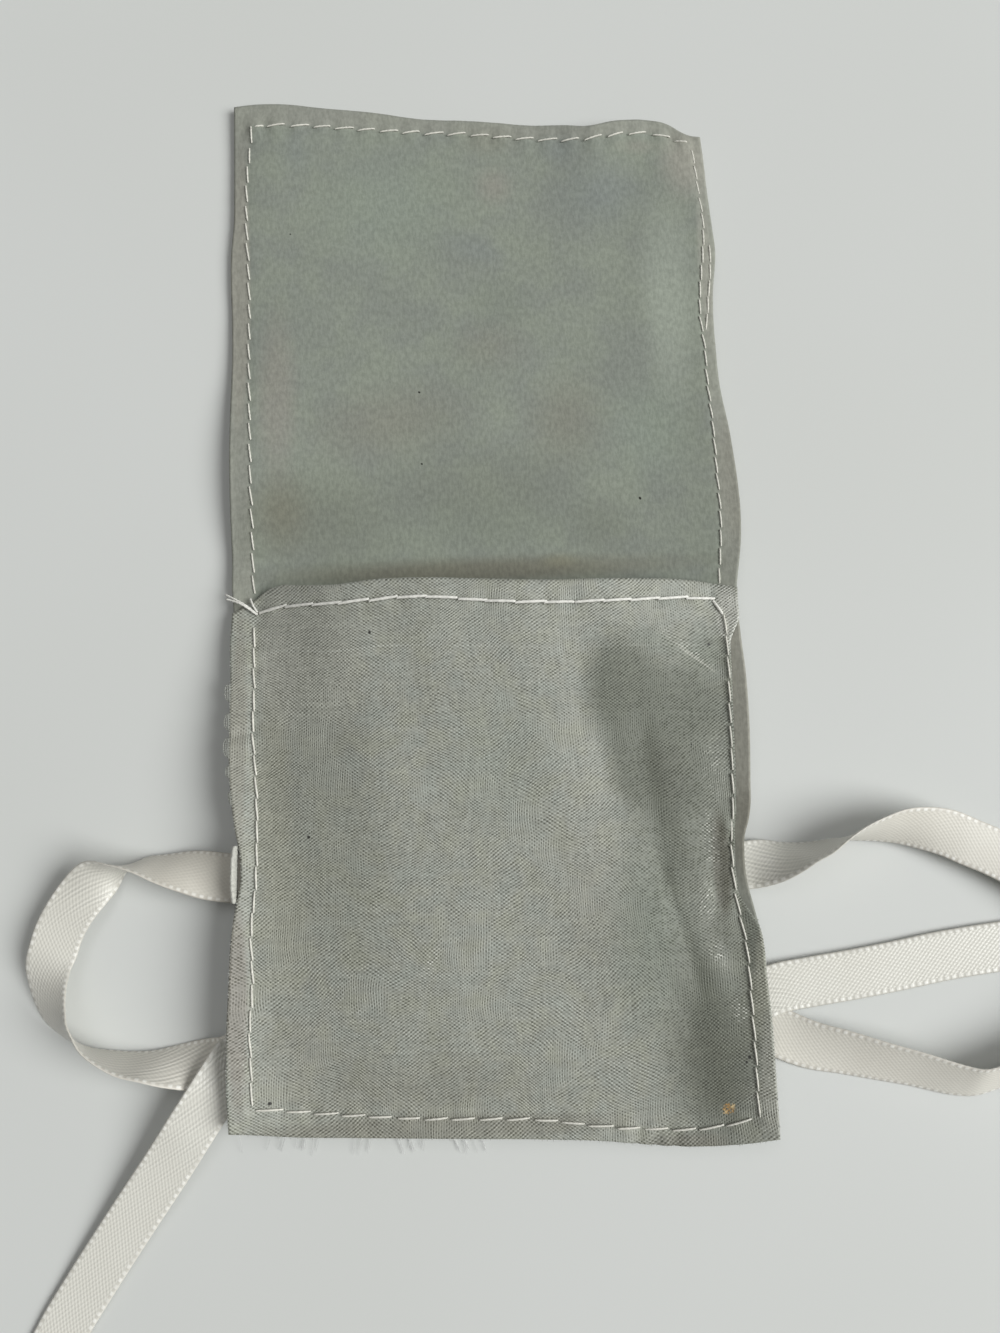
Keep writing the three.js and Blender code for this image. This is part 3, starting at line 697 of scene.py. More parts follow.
def satin_group():
    """Satin: floats in two slanted rows that cross, and a row of beads along each selvedge.

    With ribs of 1 the slanted floats stand out as one set of steep ribs."""
    tree, w, ins, outs = new_group("satin floats", {"Pattern": ORIGIN, "Ribs": 0.0},
                                   ("Height", "Rib", "Selvedge", "Bead", "Tone"))
    place = w.put("SeparateXYZ", ins["Pattern"]).outputs

    def rows(degrees, pitch):
        """A sine across rows that lean by the degrees."""
        angle = math.radians(degrees)
        along = w.times(place[0], math.sin(angle) * 2 * math.pi)
        down = w.math("MULTIPLY_ADD", place[1], math.cos(angle) * 2 * math.pi, along)
        return w.math("SINE", w.math("DIVIDE", down, pitch))

    floats = w.math("ADD", rows(-40, ROW_PITCH * 0.9), rows(24, ROW_PITCH))
    fibre = w.noise(w.vector("MULTIPLY", ins["Pattern"], (0.6, 4.0, 1.0)), 2.0, 3, 0.6)
    grain = w.noise(ins["Pattern"], 3.2, 2, 0.6)
    w.feed(outs["Height"], w.math("MULTIPLY_ADD", floats, 0.22, w.times(w.math("ADD", fibre, grain), 0.5)))
    rib = w.math("MULTIPLY_ADD", rows(22, 0.6), 0.5, 0.5)
    w.feed(outs["Rib"], w.times(rib, ins["Ribs"]))
    off = w.math("ABSOLUTE", place[1])
    w.feed(outs["Selvedge"], w.range(off, 2.55, 2.75))
    pulse = w.math("COSINE", w.times(place[0], 2 * math.pi / BEAD_PITCH))
    width = w.range(w.math("ABSOLUTE", w.minus(off, 2.86)), 0.1, 0.3, 1.0, 0.0)
    clear = w.range(w.noise(ins["Pattern"], 0.35, 2, 0.5), 0.35, 0.6, 0.35, 1.0)
    w.feed(outs["Bead"], w.times(w.range(pulse, -0.75, 0.7), width, clear))
    w.feed(outs["Tone"], w.noise(ins["Pattern"], 0.14, 3, 0.5))
    return tree


WEAVE = weave_group()
NAP = nap_group()
PATCH = patch_group()
SATIN = satin_group()


def new_material(name):
    """A material's tree and its shader, which takes its name."""
    material = bpy.data.materials.new(name)
    material.use_nodes = True
    return material, Tree(material.node_tree), material.node_tree.nodes["Principled BSDF"]


def set_shader(w, shader, **values):
    """Feeds the shader's inputs by name, each with a socket or a value."""
    for key, value in values.items():
        w.feed(shader.inputs[key.replace("_", " ")], value)


def relief(w, height, distance, strength):
    """The normal that a height gives, a height of 1 being the distance in millimetres."""
    made = w.put("Bump")
    for key, value in (("Strength", strength), ("Distance", distance * MM), ("Height", height)):
        w.feed(made.inputs[key], value)
    return made.outputs["Normal"]


def flat_place(work):
    """The piece's flat pattern in millimetres, as cut or as woven."""
    return work.put("UVMap", uv_map="pattern").outputs[0]


# Tones that the cloth takes in places, from palest to darkest; the soft patches use them for the cloth's own
# uneven colour and for painted light and painted shade
TONES = {
    "highlight": (220, 221, 213), "pale": (206, 207, 197), "light": (187, 188, 178), "cream": (181, 182, 168),
    "silver": (172, 175, 164), "frost": (160, 167, 155), "straw": (161, 164, 150), "stone": (158, 157, 147),
    "grey": (152, 151, 140), "mint": (142, 152, 139), "fawn": (146, 141, 133), "slate": (128, 134, 133),
    "moss": (126, 133, 121), "olive": (136, 134, 112), "khaki": (133, 131, 121), "lichen": (118, 122, 110),
    "peat": (117, 114, 100), "shade": (111, 115, 103), "dusk": (105, 108, 96), "deep_shade": (92, 91, 78),
}


def patch(w, place, x, y, wide, high, turn=0.0, core=0.0):
    """The mask of one soft patch, turned by degrees."""
    return w.group(PATCH, Place=place, Centre=(x, y, 0), Size=(wide, high, 1), Turn=math.radians(turn),
                   Core=core)["Mask"]


def patched(w, place, colour, patches):
    """Mixes soft patches over a colour."""
    for x, y, wide, high, tone, share, *more in patches:
        mask = patch(w, place, x, y, wide, high, *more)
        colour = w.mix(w.times(mask, share), colour, linear(*TONES[tone]))
    return colour


# Blotches of the brushed lining. Most are its own mottled colour, but the peat band along the mouth
# is painted shade, and the stone strips on the flap's left margin and the pocket's right margin are
# painted light. Each is x, y, half width, half height, tone, share, and then its turn in degrees and
# its core, 0 where they are left out. The core is how much of the way out a blotch keeps its full share.
LINING_PATCHES = (
    (-12, 59, 17, 14.5, "mint", 0.5), (32.5, 64, 5.5, 8.5, "stone", 0.9, 0, 0.2),
    (28.5, 43.5, 5.5, 23, "frost", 0.75, 0, 0.2), (19.5, 59.5, 10.5, 8, "slate", 0.6),
    (13.5, 67, 4.5, 4, "slate", 0.4), (-26, 68, 4, 6, "slate", 0.4), (3, 69, 6.5, 3.5, "khaki", 0.4),
    (3.5, 61.5, 4, 4.5, "fawn", 0.5), (0.5, 51.5, 7, 3.5, "slate", 0.35, -20),
    (3.5, 43, 7, 7, "moss", 0.3), (-29, 29.5, 4, 17.5, "fawn", 0.5, 0, 0.2),
    (-13, 25, 16.5, 8, "khaki", 0.5, 8), (12.5, 24.5, 8, 10, "khaki", 0.5, -15),
    (2, 36, 8, 5.5, "khaki", 0.35), (-23, 10.5, 16.5, 11, "lichen", 0.6),
    (-28.5, 12, 6, 8.5, "peat", 0.55), (24.5, 22, 9, 12, "mint", 0.5), (0, 14, 20.5, 10, "lichen", 0.45),
    (16.5, 8.5, 7.5, 6.5, "lichen", 0.45), (-0.5, 8.5, 27, 7, "moss", 0.35),
    # The peat band along the mouth is painted shade under the mouth's edge.
    (-0.5, 2.5, 39.5, 2.7, "peat", 0.7, 0, 0.2), (10.5, 3.5, 4, 1.6, "olive", 0.4),
    (34, 47.5, 1.4, 16, "stone", 0.5, 0, 0.3), (25.5, 67, 5, 1.9, "fawn", 0.35),
    # The stone strip on the flap's left margin, here, and on the pocket's right margin, below, are painted
    # light.
    (36, 14, 4, 15, "khaki", 0.5, 0, 0.3), (-34.5, 46.5, 1.8, 26, "stone", 0.85, 0, 0.6),
    (33.6, -20, 3.2, 18, "stone", 1, 0, 0.6), (33.3, -36, 2.6, 9, "khaki", 0.8, 0, 0.4),
)
LINING_SPECKS = ((-8.5, 29.3, 0.2), (-8.4, 18.4, 0.18), (22.4, 12.1, 0.25), (-27.0, 55.0, 0.15))


def specked(w, place, colour, specks):
    """Small dark specks of lint at (x, y, size)."""
    for x, y, size in specks:
        spot = patch(w, place, x, y, size, size * 1.3, math.degrees(x))
        colour = w.mix(w.range(spot, 0.0, 0.5), colour, linear(38, 38, 34))
    return colour


def tinted(work, colour, shade):
    """The colour times a shade, a value round 1."""
    return work.mix(1.0, colour, work.put("CombineColor", shade, shade, shade).outputs[0], "MULTIPLY")


def suede_material():
    """Grey-green brushed lining: matt, mottled, a little browner along its raw edges."""
    material, w, shader = new_material("suede_lining")
    place = flat_place(w)
    nap = w.group(NAP, Place=place)
    colour = w.mix(w.range(nap["Blotch"], 0.35, 0.65), linear(134, 139, 131), linear(140, 146, 134))
    colour = w.mix(w.times(w.attribute("margin"), 0.6), colour, linear(152, 152, 143))
    # These patches are mostly the lining's own blotches, with painted shade along the mouth and painted
    # light on two margins.
    colour = patched(w, place, colour, LINING_PATCHES)
    colour = tinted(w, colour, w.range(nap["Fibre"], 0.25, 0.75, 0.87, 1.12))
    colour = specked(w, place, colour, LINING_SPECKS)
    set_shader(w, shader, Base_Color=colour, Roughness=0.95, Sheen_Weight=0.25, Sheen_Roughness=0.5,
               Sheen_Tint=linear(200, 205, 198), Specular_IOR_Level=0.2,
               Normal=relief(w, nap["Height"], 0.12, 0.3))
    return material


# Tones of the pocket front, in the same way. Most are painted: painted shade over the dent, valleys
# and folds of its right third, and painted light on its left flank, at the mouth's right corner and
# along a crease; the rest are the cloth's own uneven tone.
FRONT_PATCHES = (
    (26.5, -41, 14, 45, "lichen", 0.7, 0, 0.4), (18, -16, 7.5, 11, "lichen", 0.9, 0, 0.4),
    (26.5, -19.5, 7.5, 10.5, "lichen", 0.7, -30, 0.2), (20.5, -27, 6.5, 8.5, "dusk", 0.8, 20, 0.2),
    (25.5, -34.5, 8, 10, "shade", 0.6, 0, 0.3), (20, -44.5, 6.5, 14.5, "moss", 0.5, 10),
    (18.5, -26.5, 4.5, 10, "shade", 0.8, 18, 0.2), (24.5, -18, 8, 7.5, "shade", 0.7, 0, 0.4),
    (24, -27.5, 6, 7.5, "dusk", 0.6, 20, 0.2), (18, -49.5, 8.5, 14.5, "moss", 0.5, 8, 0.1),
    (26.5, -62.5, 7.5, 14, "dusk", 0.8, 6, 0.3), (25.5, -54, 5.5, 9.5, "shade", 0.6, 20, 0.2),
    (29.5, -39, 1.7, 9, "deep_shade", 0.9, 0, 0.5), (29, -47.5, 1.9, 5.5, "dusk", 0.6, 20, 0.2),
    (29.5, -10.5, 4.5, 5, "moss", 0.6, 0, 0.2), (27.5, -27.5, 3.5, 6.5, "shade", 0.6, 0, 0.2),
    (33.5, -6.5, 2.4, 6, "highlight", 0.95, 8, 0.5), (27, -11, 6, 0.3, "light", 0.75, -36, 0.4),
    (23, -9.5, 5.5, 2.1, "moss", 0.5, -20, 0.2), (-23.5, -4.5, 9, 3.5, "silver", 0.35, 0, 0.2),
    (-5, -6, 14, 3.5, "silver", 0.35, 0, 0.2), (-28, -9, 4.5, 14.5, "pale", 0.9, 0, 0.4),
    (-22, -10.5, 8, 14.5, "light", 0.8, 0, 0.3), (-29, -27, 3.5, 17.5, "cream", 0.7, 0, 0.3),
    (-23, -23.5, 5.5, 20, "silver", 0.5), (-27.5, -41.5, 4.5, 17, "cream", 0.7, 0, 0.2),
    (-19.5, -39, 10, 19.5, "straw", 0.35), (1, -24.5, 10.5, 14.5, "frost", 0.4),
    (-13, -65.5, 25.5, 6, "grey", 0.4, 0, 0.2), (12, -43, 6.5, 21, "grey", 0.4),
    (-26, -60, 8, 8, "stone", 0.4), (-34, -23, 1.6, 25.5, "stone", 0.85, 0, 0.5),
    (-33.5, -54.5, 1.6, 16, "fawn", 0.8, 0, 0.5), (-9.5, -70.5, 32, 1.9, "grey", 0.7, 0, 0.5),
    (23, -73.5, 8, 1.6, "khaki", 0.7, 0, 0.3), (30, -9.5, 1.2, 0.8, "dusk", 0.7),
    (34, -53, 1.7, 10.5, "cream", 0.8, -8, 0.4), (34, -65, 1.9, 10, "light", 0.9, -4, 0.4),
)
# Painted glints, where floats catch the light: x, y, half width, half height, strength, and a turn
# where one is needed
FRONT_GLINTS = (
    (28.1, -36.2, 1.9, 7.2, 0.8), (27.1, -43.8, 1.6, 4.2, 1.1), (28.3, -50.5, 1.5, 3.2, 1.1, 25),
    (30.7, -57.6, 1.7, 2.4, 1, 10), (-8.7, -49.8, 1, 3.4, 1.2, -32), (-27.7, -21.5, 0.3, 0.5, 1.4),
    (-27.9, -29.4, 0.3, 0.8, 1.4), (29.5, -26.8, 2.9, 7.3, 0.5), (33.3, -5.4, 2.4, 5.3, 1.2, 8),
    (2, -2.2, 33.6, 1.2, 0.4), (32.8, -68.4, 2.7, 5.3, 0.6), (27.3, -10.6, 6.6, 0.8, 0.8, -36),
    (-32.5, -60.9, 1.9, 8, 0.5), (-19.1, -54.1, 7.9, 7.9, 0.25),
)
FRONT_SPECKS = ((-15.5, -7.1, 0.26), (-24.1, -33.5, 0.26), (-29.7, -66.5, 0.3), (31.4, -63.3, 0.3),
                (31.0, -63.9, 0.22), (26.5, -23.4, 0.14), (30.0, -9.8, 0.24))
# Parts of the rust stain: x, y, size, colour
STAINS = ((28.4, -69.5, 1.1, (158, 124, 74)), (28.9, -69.2, 0.5, (206, 182, 136)),
          (27.9, -69.9, 0.45, (200, 172, 122)))


def hem_seen(w, place, tone):
    """The hem shows through the front as a slightly paler band with a light edge, clearest at the left."""
    below = w.attribute("below_mouth")
    inner = w.minus(1.0, w.attribute("margin"))
    left = w.range(w.put("SeparateXYZ", place).outputs[0], -16.0, 4.0, 1.0, 0.2)
    band = w.times(w.range(below, HEM_DEPTH - 0.12, HEM_DEPTH + 0.12, 1.0, 0.0), inner)
    tone = w.mix(w.times(band, 0.12), tone, linear(178, 181, 173))
    edge = w.range(w.math("ABSOLUTE", w.minus(below, HEM_DEPTH)), 0.0, 0.16, 0.5, 0.0)
    return w.mix(w.times(edge, inner, left), tone, linear(205, 208, 200))


def stained(w, place, colour):
    """A rough rust-coloured stain: soft patches broken up by a fine noise."""
    rough = w.noise(place, 3.4, 3, 0.7)
    for x, y, size, tint in STAINS:
        spot = w.times(patch(w, place, x, y, size, size * 0.9), w.range(rough, 0.42, 0.56))
        colour = w.mix(w.range(spot, 0.1, 0.4), colour, linear(*tint))
    return colour


def weave_material(name, light, front=False):
    """Thin silky weave: bright floats and dark crossings, unevenly beaten, each region leaning its way."""
    material, w, shader = new_material(name)
    place = flat_place(w)
    drift = w.put("TexNoise", place, None, 0.06, 3.0).outputs["Color"]
    pulled = w.vector("ADD", place, w.vector("MULTIPLY", drift, (3.4, 3.4, 0.0)))
    slow = w.noise(place, 0.09, 1, 0.4)
    lines = w.range(w.noise(place, 0.12, 1, 0.5), 0.52, 0.68, 0.0, 0.7)
    weave = w.group(WEAVE, Place=pulled, Lean=w.range(slow, 0.36, 0.6, -0.12, 0.15), Lines=lines)
    hue = w.noise(place, 0.3, 2, 0.5)
    red, green, blue = light
    tone = w.mix(w.range(hue, 0.45, 0.7, 0.0, 0.3), linear(*light), linear(red + 3, green + 3, blue - 10))
    tone = w.mix(w.range(hue, 0.55, 0.3, 0.0, 0.3), tone, linear(red - 6, green + 1, blue + 4))
    catch = 0.0
    if front:
        # The front's patches paint shade and light onto its tone, as well as its own uneven tone.
        tone = hem_seen(w, place, patched(w, place, tone, FRONT_PATCHES))
        for x, y, wide, high, strength, *turn in FRONT_GLINTS:
            mask = patch(w, place, x, y, wide, high, *turn)
            catch = w.math("MULTIPLY_ADD", mask, strength, catch)
    tone = tinted(w, tone, w.range(weave["Thread tone"], 0.3, 0.7, 0.9, 1.1))
    dark_tone = w.mix(1.0, tone, linear(158, 158, 152), "MULTIPLY")
    colour = w.mix(w.range(weave["Weft up"], 0.02, 0.9), dark_tone, tone)
    if front:
        # Painted glints: floats that face up turn near-white where the glints' mask is strong.
        sparkle = w.times(w.range(weave["Glint"], 0.3, 1.0), w.range(weave["Weft up"], 0.5, 0.8), catch)
        colour = w.mix(sparkle, colour, linear(208, 209, 200))
        colour = stained(w, place, specked(w, place, colour, FRONT_SPECKS))
    set_shader(w, shader, Base_Color=colour, Roughness=0.55, Sheen_Weight=0.15, Sheen_Roughness=0.35,
               Specular_IOR_Level=0.5, Normal=relief(w, weave["Weft up"], 0.1, 0.6))
    return material


def thread_material(name, *colour):
    """Spun sewing thread, slightly uneven in tone."""
    material, w, shader = new_material(name)
    tone = w.noise(w.put("TexCoord").outputs["Object"], 2500.0, 2, 0.5)
    mixed = w.mix(w.range(tone, 0.3, 0.7), linear(*colour), linear(*[c * 0.9 for c in colour]))
    set_shader(w, shader, Base_Color=mixed, Roughness=0.6, Sheen_Weight=0.2, Specular_IOR_Level=0.4,
               Normal=relief(w, tone, 0.06, 0.4))
    return material


def satin_material(name, light, dark, gloss, row_depth):
    """One face of the ribbon: slanted floats between two beaded selvedges, ribbed where it is pulled."""
    material, w, shader = new_material(name)
    satin = w.group(SATIN, Pattern=flat_place(w), Ribs=w.attribute("ribs"))
    colour = w.mix(satin["Tone"], linear(*light), linear(*dark))
    colour = tinted(w, colour, w.range(satin["Height"], 0.15, 0.85, 1 - row_depth, 1 + row_depth * 0.5))
    colour = tinted(w, colour, w.minus(1.0, w.times(satin["Rib"], 0.2)))
    selvedge = w.mix(satin["Bead"], linear(*[c * 0.95 for c in dark]), linear(242, 241, 235))
    colour = w.mix(satin["Selvedge"], colour, selvedge)
    # Painted shade: the satin darkens by the share that its route gives.
    colour = w.mix(w.times(w.attribute("painted_shade"), 0.5), colour, linear(178, 173, 165), "MULTIPLY")
    floats = w.times(w.minus(satin["Height"], satin["Rib"]), w.minus(1.0, satin["Selvedge"]))
    height = w.math("MULTIPLY_ADD", satin["Bead"], 0.5, floats)
    set_shader(w, shader, Base_Color=colour, Roughness=gloss, Sheen_Weight=0.1, Specular_IOR_Level=0.5,
               Normal=relief(w, height, row_depth, 0.6))
    return material


SUEDE_CLOTH = suede_material()
FRONT_CLOTH = weave_material("woven_front", (172, 174, 165), front=True)
COVER_CLOTH = weave_material("woven_cover", (170, 172, 162))
WHITE_THREAD = thread_material("white_thread", 238, 237, 230)
SEAM_THREAD = thread_material("seam_thread", 226, 224, 214)
FRAY_THREAD = thread_material("frayed_thread", 205, 207, 200)
RAVEL_THREAD = thread_material("ravel_thread", 248, 249, 247)
CLUMP_THREAD = thread_material("clump_thread", 166, 168, 160)
NAP_FIBRE = thread_material("nap_fibre", 140, 144, 134)
SATIN_FACE = satin_material("satin_face", (228, 227, 219), (219, 217, 208), 0.34, 0.065)
SATIN_BACK = satin_material("satin_back", (226, 224, 215), (219, 215, 205), 0.5, 0.045)
RAW_SATIN = thread_material("raw_satin", 196, 196, 188)


# What the pieces stand for and ride on
BEND = (-2.0, 10.0)  # two distances from the fold line, in millimetres
FOLD_START, FOLD_END = [(0.0, (y + FOLD_Y) * MM, 0.0) for y in BEND]


def over_fold(piece):
    """Cloth that crosses the fold: its place is baked into its mesh."""
    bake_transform(piece)
    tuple(FOLD_START)
    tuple(FOLD_END)


def settle(piece, slot, body, *nodes):
    """Hides the parts that a piece stands for and hangs it on its body, or bakes it in place with none.

    Its slot is not used.
    """
    if nodes:
        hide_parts(*nodes)
    if body:
        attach(piece, body)
    else:
        over_fold(piece)


# Ribbon ties. Each route goes from the sewn tab to the cut end, in millimetres: x, y, z, then
# the azimuth and elevation in degrees of the straight line across the ribbon there.
LEFT_ROUTE = (
    (-33.4, -38.6, 2.7, 87, 0), (-35.3, -38.4, 2.75, 83, 0), (-37.8, -38.0, 2.85, 78, -12),
    (-40.7, -37.3, 3.0, 76, -33), (-44.3, -36.7, 3.3, 82, -58), (-47.1, -36.2, 3.5, 88, -75),
    (-49.8, -36.5, 3.5, 112, -98), (-52.5, -37.8, 3.2, 125, -148), (-54.7, -39.9, 2.9, 141, -170),
    (-56.4, -42.2, 2.8, 151, -176), (-57.6, -44.5, 2.75, 157, -176), (-58.3, -46.8, 2.75, 162, -176),
    (-58.9, -49.0, 2.8, 170, -188), (-58.8, -51.1, 2.9, 180, -202), (-58.4, -52.9, 3.0, 191, -211),
    (-57.7, -54.9, 3.1, 202, -221), (-56.5, -56.6, 3.3, 214, -236), (-55.0, -58.1, 3.35, 227, -247),
    (-53.4, -59.3, 3.4, 239, -260), (-51.4, -60.2, 3.4, 249, -272), (-48.3, -61.2, 3.35, 257, -286),
    (-45.3, -61.6, 3.2, 264, -295), (-41.9, -61.9, 2.35, 268, -316), (-38.9, -62.0, 1.6, 271, -338),
    (-36.4, -61.9, 1.5, 281, -356), (-34.9, -61.5, 1.6, 296, -360), (-34.2, -61.4, 1.8, 297, -360),
    (-34.7, -61.7, 2.1, 297, -361), (-35.7, -63.2, 2.9, 313, -365), (-37.3, -65.7, 3.7, 324, -371),
    (-40.0, -69.6, 3.4, 325, -370), (-42.8, -73.6, 2.5, 325, -366), (-48.3, -81.2, 1.3, 326, -362),
    (-53.5, -88.7, 0.7, 326, -360), (-56.7, -93.7, 0.5, 328, -360), (-59.6, -99.9, 0.4, 338, -360),
    (-60.1, -106.5, 0.35, 365, -360), (-57.0, -112.4, 0.35, 400, -360), (-51.2, -116.0, 0.35, 432, -360),
    (-44.2, -116.4, 0.35, 454, -360),
)
RIGHT_ROUTE = (
    (32.6, -39.5, 1.35, 274, 181), (34.2, -39.4, 1.5, 276, 186), (36.4, -39.1, 1.95, 279, 203),
    (38.8, -38.7, 2.5, 283, 228), (41.1, -38.1, 3.1, 285, 246), (43.4, -37.5, 3.3, 288, 256),
    (45.9, -36.5, 3.5, 289, 270), (48.4, -35.9, 3.6, 284, 286), (51.5, -35.4, 3.5, 278, 301),
    (54.8, -35.2, 3.3, 268, 318), (59.8, -36.1, 3.0, 252, 342), (63.2, -37.6, 2.8, 245, 352),
    (66.4, -39.1, 2.7, 243, 358), (72.5, -42.9, 2.7, 236, 370), (78.3, -47.5, 2.8, 222, 385),
    (81.3, -53.1, 3.0, 196, 400), (79.9, -58.9, 3.1, 158, 410), (74.9, -63.1, 3.0, 127, 412),
    (68.8, -65.7, 2.9, 112, 411), (63.4, -67.4, 2.8, 104, 410), (60.9, -67.9, 2.7, 91, 408),
    (58.5, -67.6, 2.5, 80, 405), (53.3, -66.1, 2.25, 75, 400), (48.6, -64.9, 1.95, 75, 393),
    (44.4, -63.8, 1.5, 76, 384), (40.2, -62.8, 1.0, 72, 373), (36.4, -61.2, 0.65, 63, 363),
    (33.8, -59.7, 0.45, 71, 360), (31.3, -58.3, 0.34, 87, 360), (31.0, -58.0, 0.64, 87, 360),
    (31.3, -57.8, 0.94, 87, 360), (33.5, -56.7, 0.9, 103, 360), (36.5, -55.6, 0.8, 106, 360),
    (41.2, -54.9, 0.7, 98, 360), (46.8, -54.2, 0.65, 98, 360), (52.9, -53.3, 0.6, 98, 360),
    (59.0, -52.3, 0.55, 98, 360), (65.8, -51.5, 0.5, 96, 360), (70.8, -51.1, 0.45, 93, 360),
    (75.7, -50.9, 0.4, 91, 360),
)
# Where the floats show as strong ribs: place along the route and reach, in millimetres
LEFT_RIBS = ((21.5, 4.0), (62.0, 16.0))
RIGHT_RIBS = ((3.0, 5.0), (118.0, 5.0))
# Painted shade that darkens the satin, most on the left tie beside the pouch: place along the route and
# share
LEFT_PAINTED_SHADE = ((0, 0.8), (8, 0.7), (20, 0.3), (45, 0.3), (62, 0.0), (80, 0.1), (135, 0.1))
RIGHT_PAINTED_SHADE = ((0, 0.1), (160, 0.2))


def curve_through(points, per_span):
    """A smooth curve through points: a Catmull-Rom spline whose knots go by the root of distance."""
    p = np.vstack([2 * points[0] - points[1], points, 2 * points[-1] - points[-2]])
    gap = np.sqrt(np.maximum(1e-9, np.linalg.norm(np.diff(p, axis=0), axis=1)))
    made = []
    for k in range(1, len(p) - 2):
        d0, d1, d2 = gap[k - 1], gap[k], gap[k + 1]
        m1 = ((p[k] - p[k - 1]) / d0 - (p[k + 1] - p[k - 1]) / (d0 + d1) + (p[k + 1] - p[k]) / d1) * d1
        m2 = ((p[k + 1] - p[k]) / d1 - (p[k + 2] - p[k]) / (d1 + d2) + (p[k + 2] - p[k + 1]) / d2) * d1
        t = np.arange(per_span + (k == len(p) - 3))[:, None] / per_span
        a, b = 2 * t**3 - 3 * t**2 + 1, t**3 - 2 * t**2 + t
        c, d = -2 * t**3 + 3 * t**2, t**3 - t**2
        made.append(a * p[k] + b * m1 + c * p[k + 1] + d * m2)
    return np.concatenate(made)


def softened(values, spacing, reach):
    """Values along an evenly spaced path, each averaged with its neighbours in a bell."""
    half = int(3 * reach / spacing)
    bell = np.exp(-((np.arange(-half, half + 1) * spacing / reach) ** 2) / 2)
    bell /= bell.sum()
    padded = np.concatenate([np.repeat(values[:1], half, 0), values, np.repeat(values[-1:], half, 0)])
    return np.stack([np.convolve(padded[:, k], bell, "valid") for k in range(values.shape[1])], 1)


def ribbon(name, route, ribs, painted_shade, spacing=0.16, columns=15):
    """A flat ribbon along its route, with a bead of selvedge on each side.

    Across the ribbon its thickness is even, then swells and sinks along each side by a cosine
    of the way along, and its half width swells with the same cosine."""
    route = np.array(route, float)
    turn, rise = np.radians(route[:, 3]), np.radians(route[:, 4])
    width = np.stack([np.cos(turn) * np.cos(rise), np.sin(turn) * np.cos(rise), np.sin(rise)], 1)
    centre, across = curve_through(route[:, :3], 24), curve_through(width, 24)
    run = run_of(centre)
    marks = marks_on(run, spacing)
    centre, across = sampled(marks, run, centre), sampled(marks, run, across)
    across = unit(softened(across, spacing, 0.5))
    up = np.cross(unit(np.gradient(centre, axis=0)), across)
    size = np.linalg.norm(up, axis=1)[:, None]
    up, across = up / size, across / size
    v = np.linspace(-1, 1, columns)
    v = np.sign(v) * (1 - (1 - np.abs(v)) ** 1.5)
    bead = 0.5 + 0.5 * np.cos(2 * math.pi * marks / BEAD_PITCH)[:, None]
    side = smooth((np.abs(v) - 0.79) / 0.08)[None, :]
    end = 1 - 0.7 * smooth((np.abs(v) - 0.95) / 0.05)[None, :]
    half = RIBBON_WIDTH / 2 - 0.02 + 0.02 * bead
    thick = up[:, None] * ((RIBBON_THICKNESS / 2 + side * (0.03 * smooth(bead * 1.6))) * end)[..., None]
    middle = centre[:, None] + across[:, None] * (half * v)[..., None]
    rings = np.concatenate([middle + thick, (middle - thick)[:, ::-1]], 1)
    rows, around = len(marks), 2 * columns
    k, n = rounds(rows, around)
    faces = np.stack([k, k + around, n + around, n], -1).reshape(-1, 4).tolist()
    ends = [list(range(around)), list(range((rows - 1) * around, rows * around))[::-1]]
    slots = np.tile(np.repeat([0, 1, 0], [columns, columns - 1, 1]), rows - 1)
    pattern = np.concatenate([v, v[::-1]]) * RIBBON_WIDTH / 2
    uv = np.stack(np.broadcast_arrays(marks[:, None], pattern[None, :]), -1).reshape(-1, 2)
    named = {"ribs": np.minimum(1, sum(bump(marks, *rib) for rib in ribs)),
             "painted_shade": np.interp(marks, *zip(*painted_shade))}
    made = new_mesh(name, placed(rings.reshape(-1, 3)), faces + ends, uv,
                    {key: np.repeat(value, around) for key, value in named.items()},
                    [SATIN_FACE, SATIN_BACK], np.concatenate([slots, [0, 0]]))
    return made


settle(ribbon("ribbon_left", LEFT_ROUTE, LEFT_RIBS, LEFT_PAINTED_SHADE), "satin", "pocket", "tie_ribbon_left")
settle(ribbon("ribbon_right", RIGHT_ROUTE, RIGHT_RIBS, RIGHT_PAINTED_SHADE), "satin", "pocket", "tie_ribbon_right")


# Cloth plies
# Grid lines from side to side, closer together near the raw edges
SIDE_STEPS = steps((6.0, 0.3), (58.0, 0.8), (6.0, 0.3))


def margin_of(x, y, low, high):
    """1 outside the box of seams, 0 inside it."""
    return smooth((past_seams(x, y, low, high) + 0.3) / 0.8)


def frayed_left(y):
    """The cover's left edge, where its weft has come loose and stands out."""
    return left_edge(y) - 0.4 * smooth((-9 - y) / 3) * smooth((y + 27) / 3)


def make_back():
    """Lining and cover, each one sheet from the pocket's bottom to the flap's tip."""
    along = steps((6.0, 0.4), (137.0, 0.75), (6.0, 0.4))
    x, y = plan(SIDE_STEPS, along, bottom_edge, top_edge)
    base, kept = cover_under(x, y), pressed(x, y)
    lining = cloth_shell("lining", x, y, base + LINING_BOTTOM * kept, base + LINING_TOP * kept,
                         SUEDE_CLOTH, {"margin": margin_of(x, y, bottom_seam, top_seam)})
    settle(lining, "suede", None, "back_lining", "flap_lining")

    x, y = plan(SIDE_STEPS, along, bottom_edge, top_edge, frayed_left)
    base = cover_under(x, y)
    cover = cloth_shell("cover", x, y, base, base + COVER_TOP * pressed(x, y), COVER_CLOTH)
    settle(cover, "woven", None, "back_cover", "flap_cover")


def front_right(y):
    """The front's right edge: cut close to the seam below the mouth, and full near both corners."""
    close = smooth((-5.5 - y) / 4.5) * smooth((y + 48) / 6)
    return right_edge(y) - close * (right_edge(y) - right_seam(y) - 0.45)


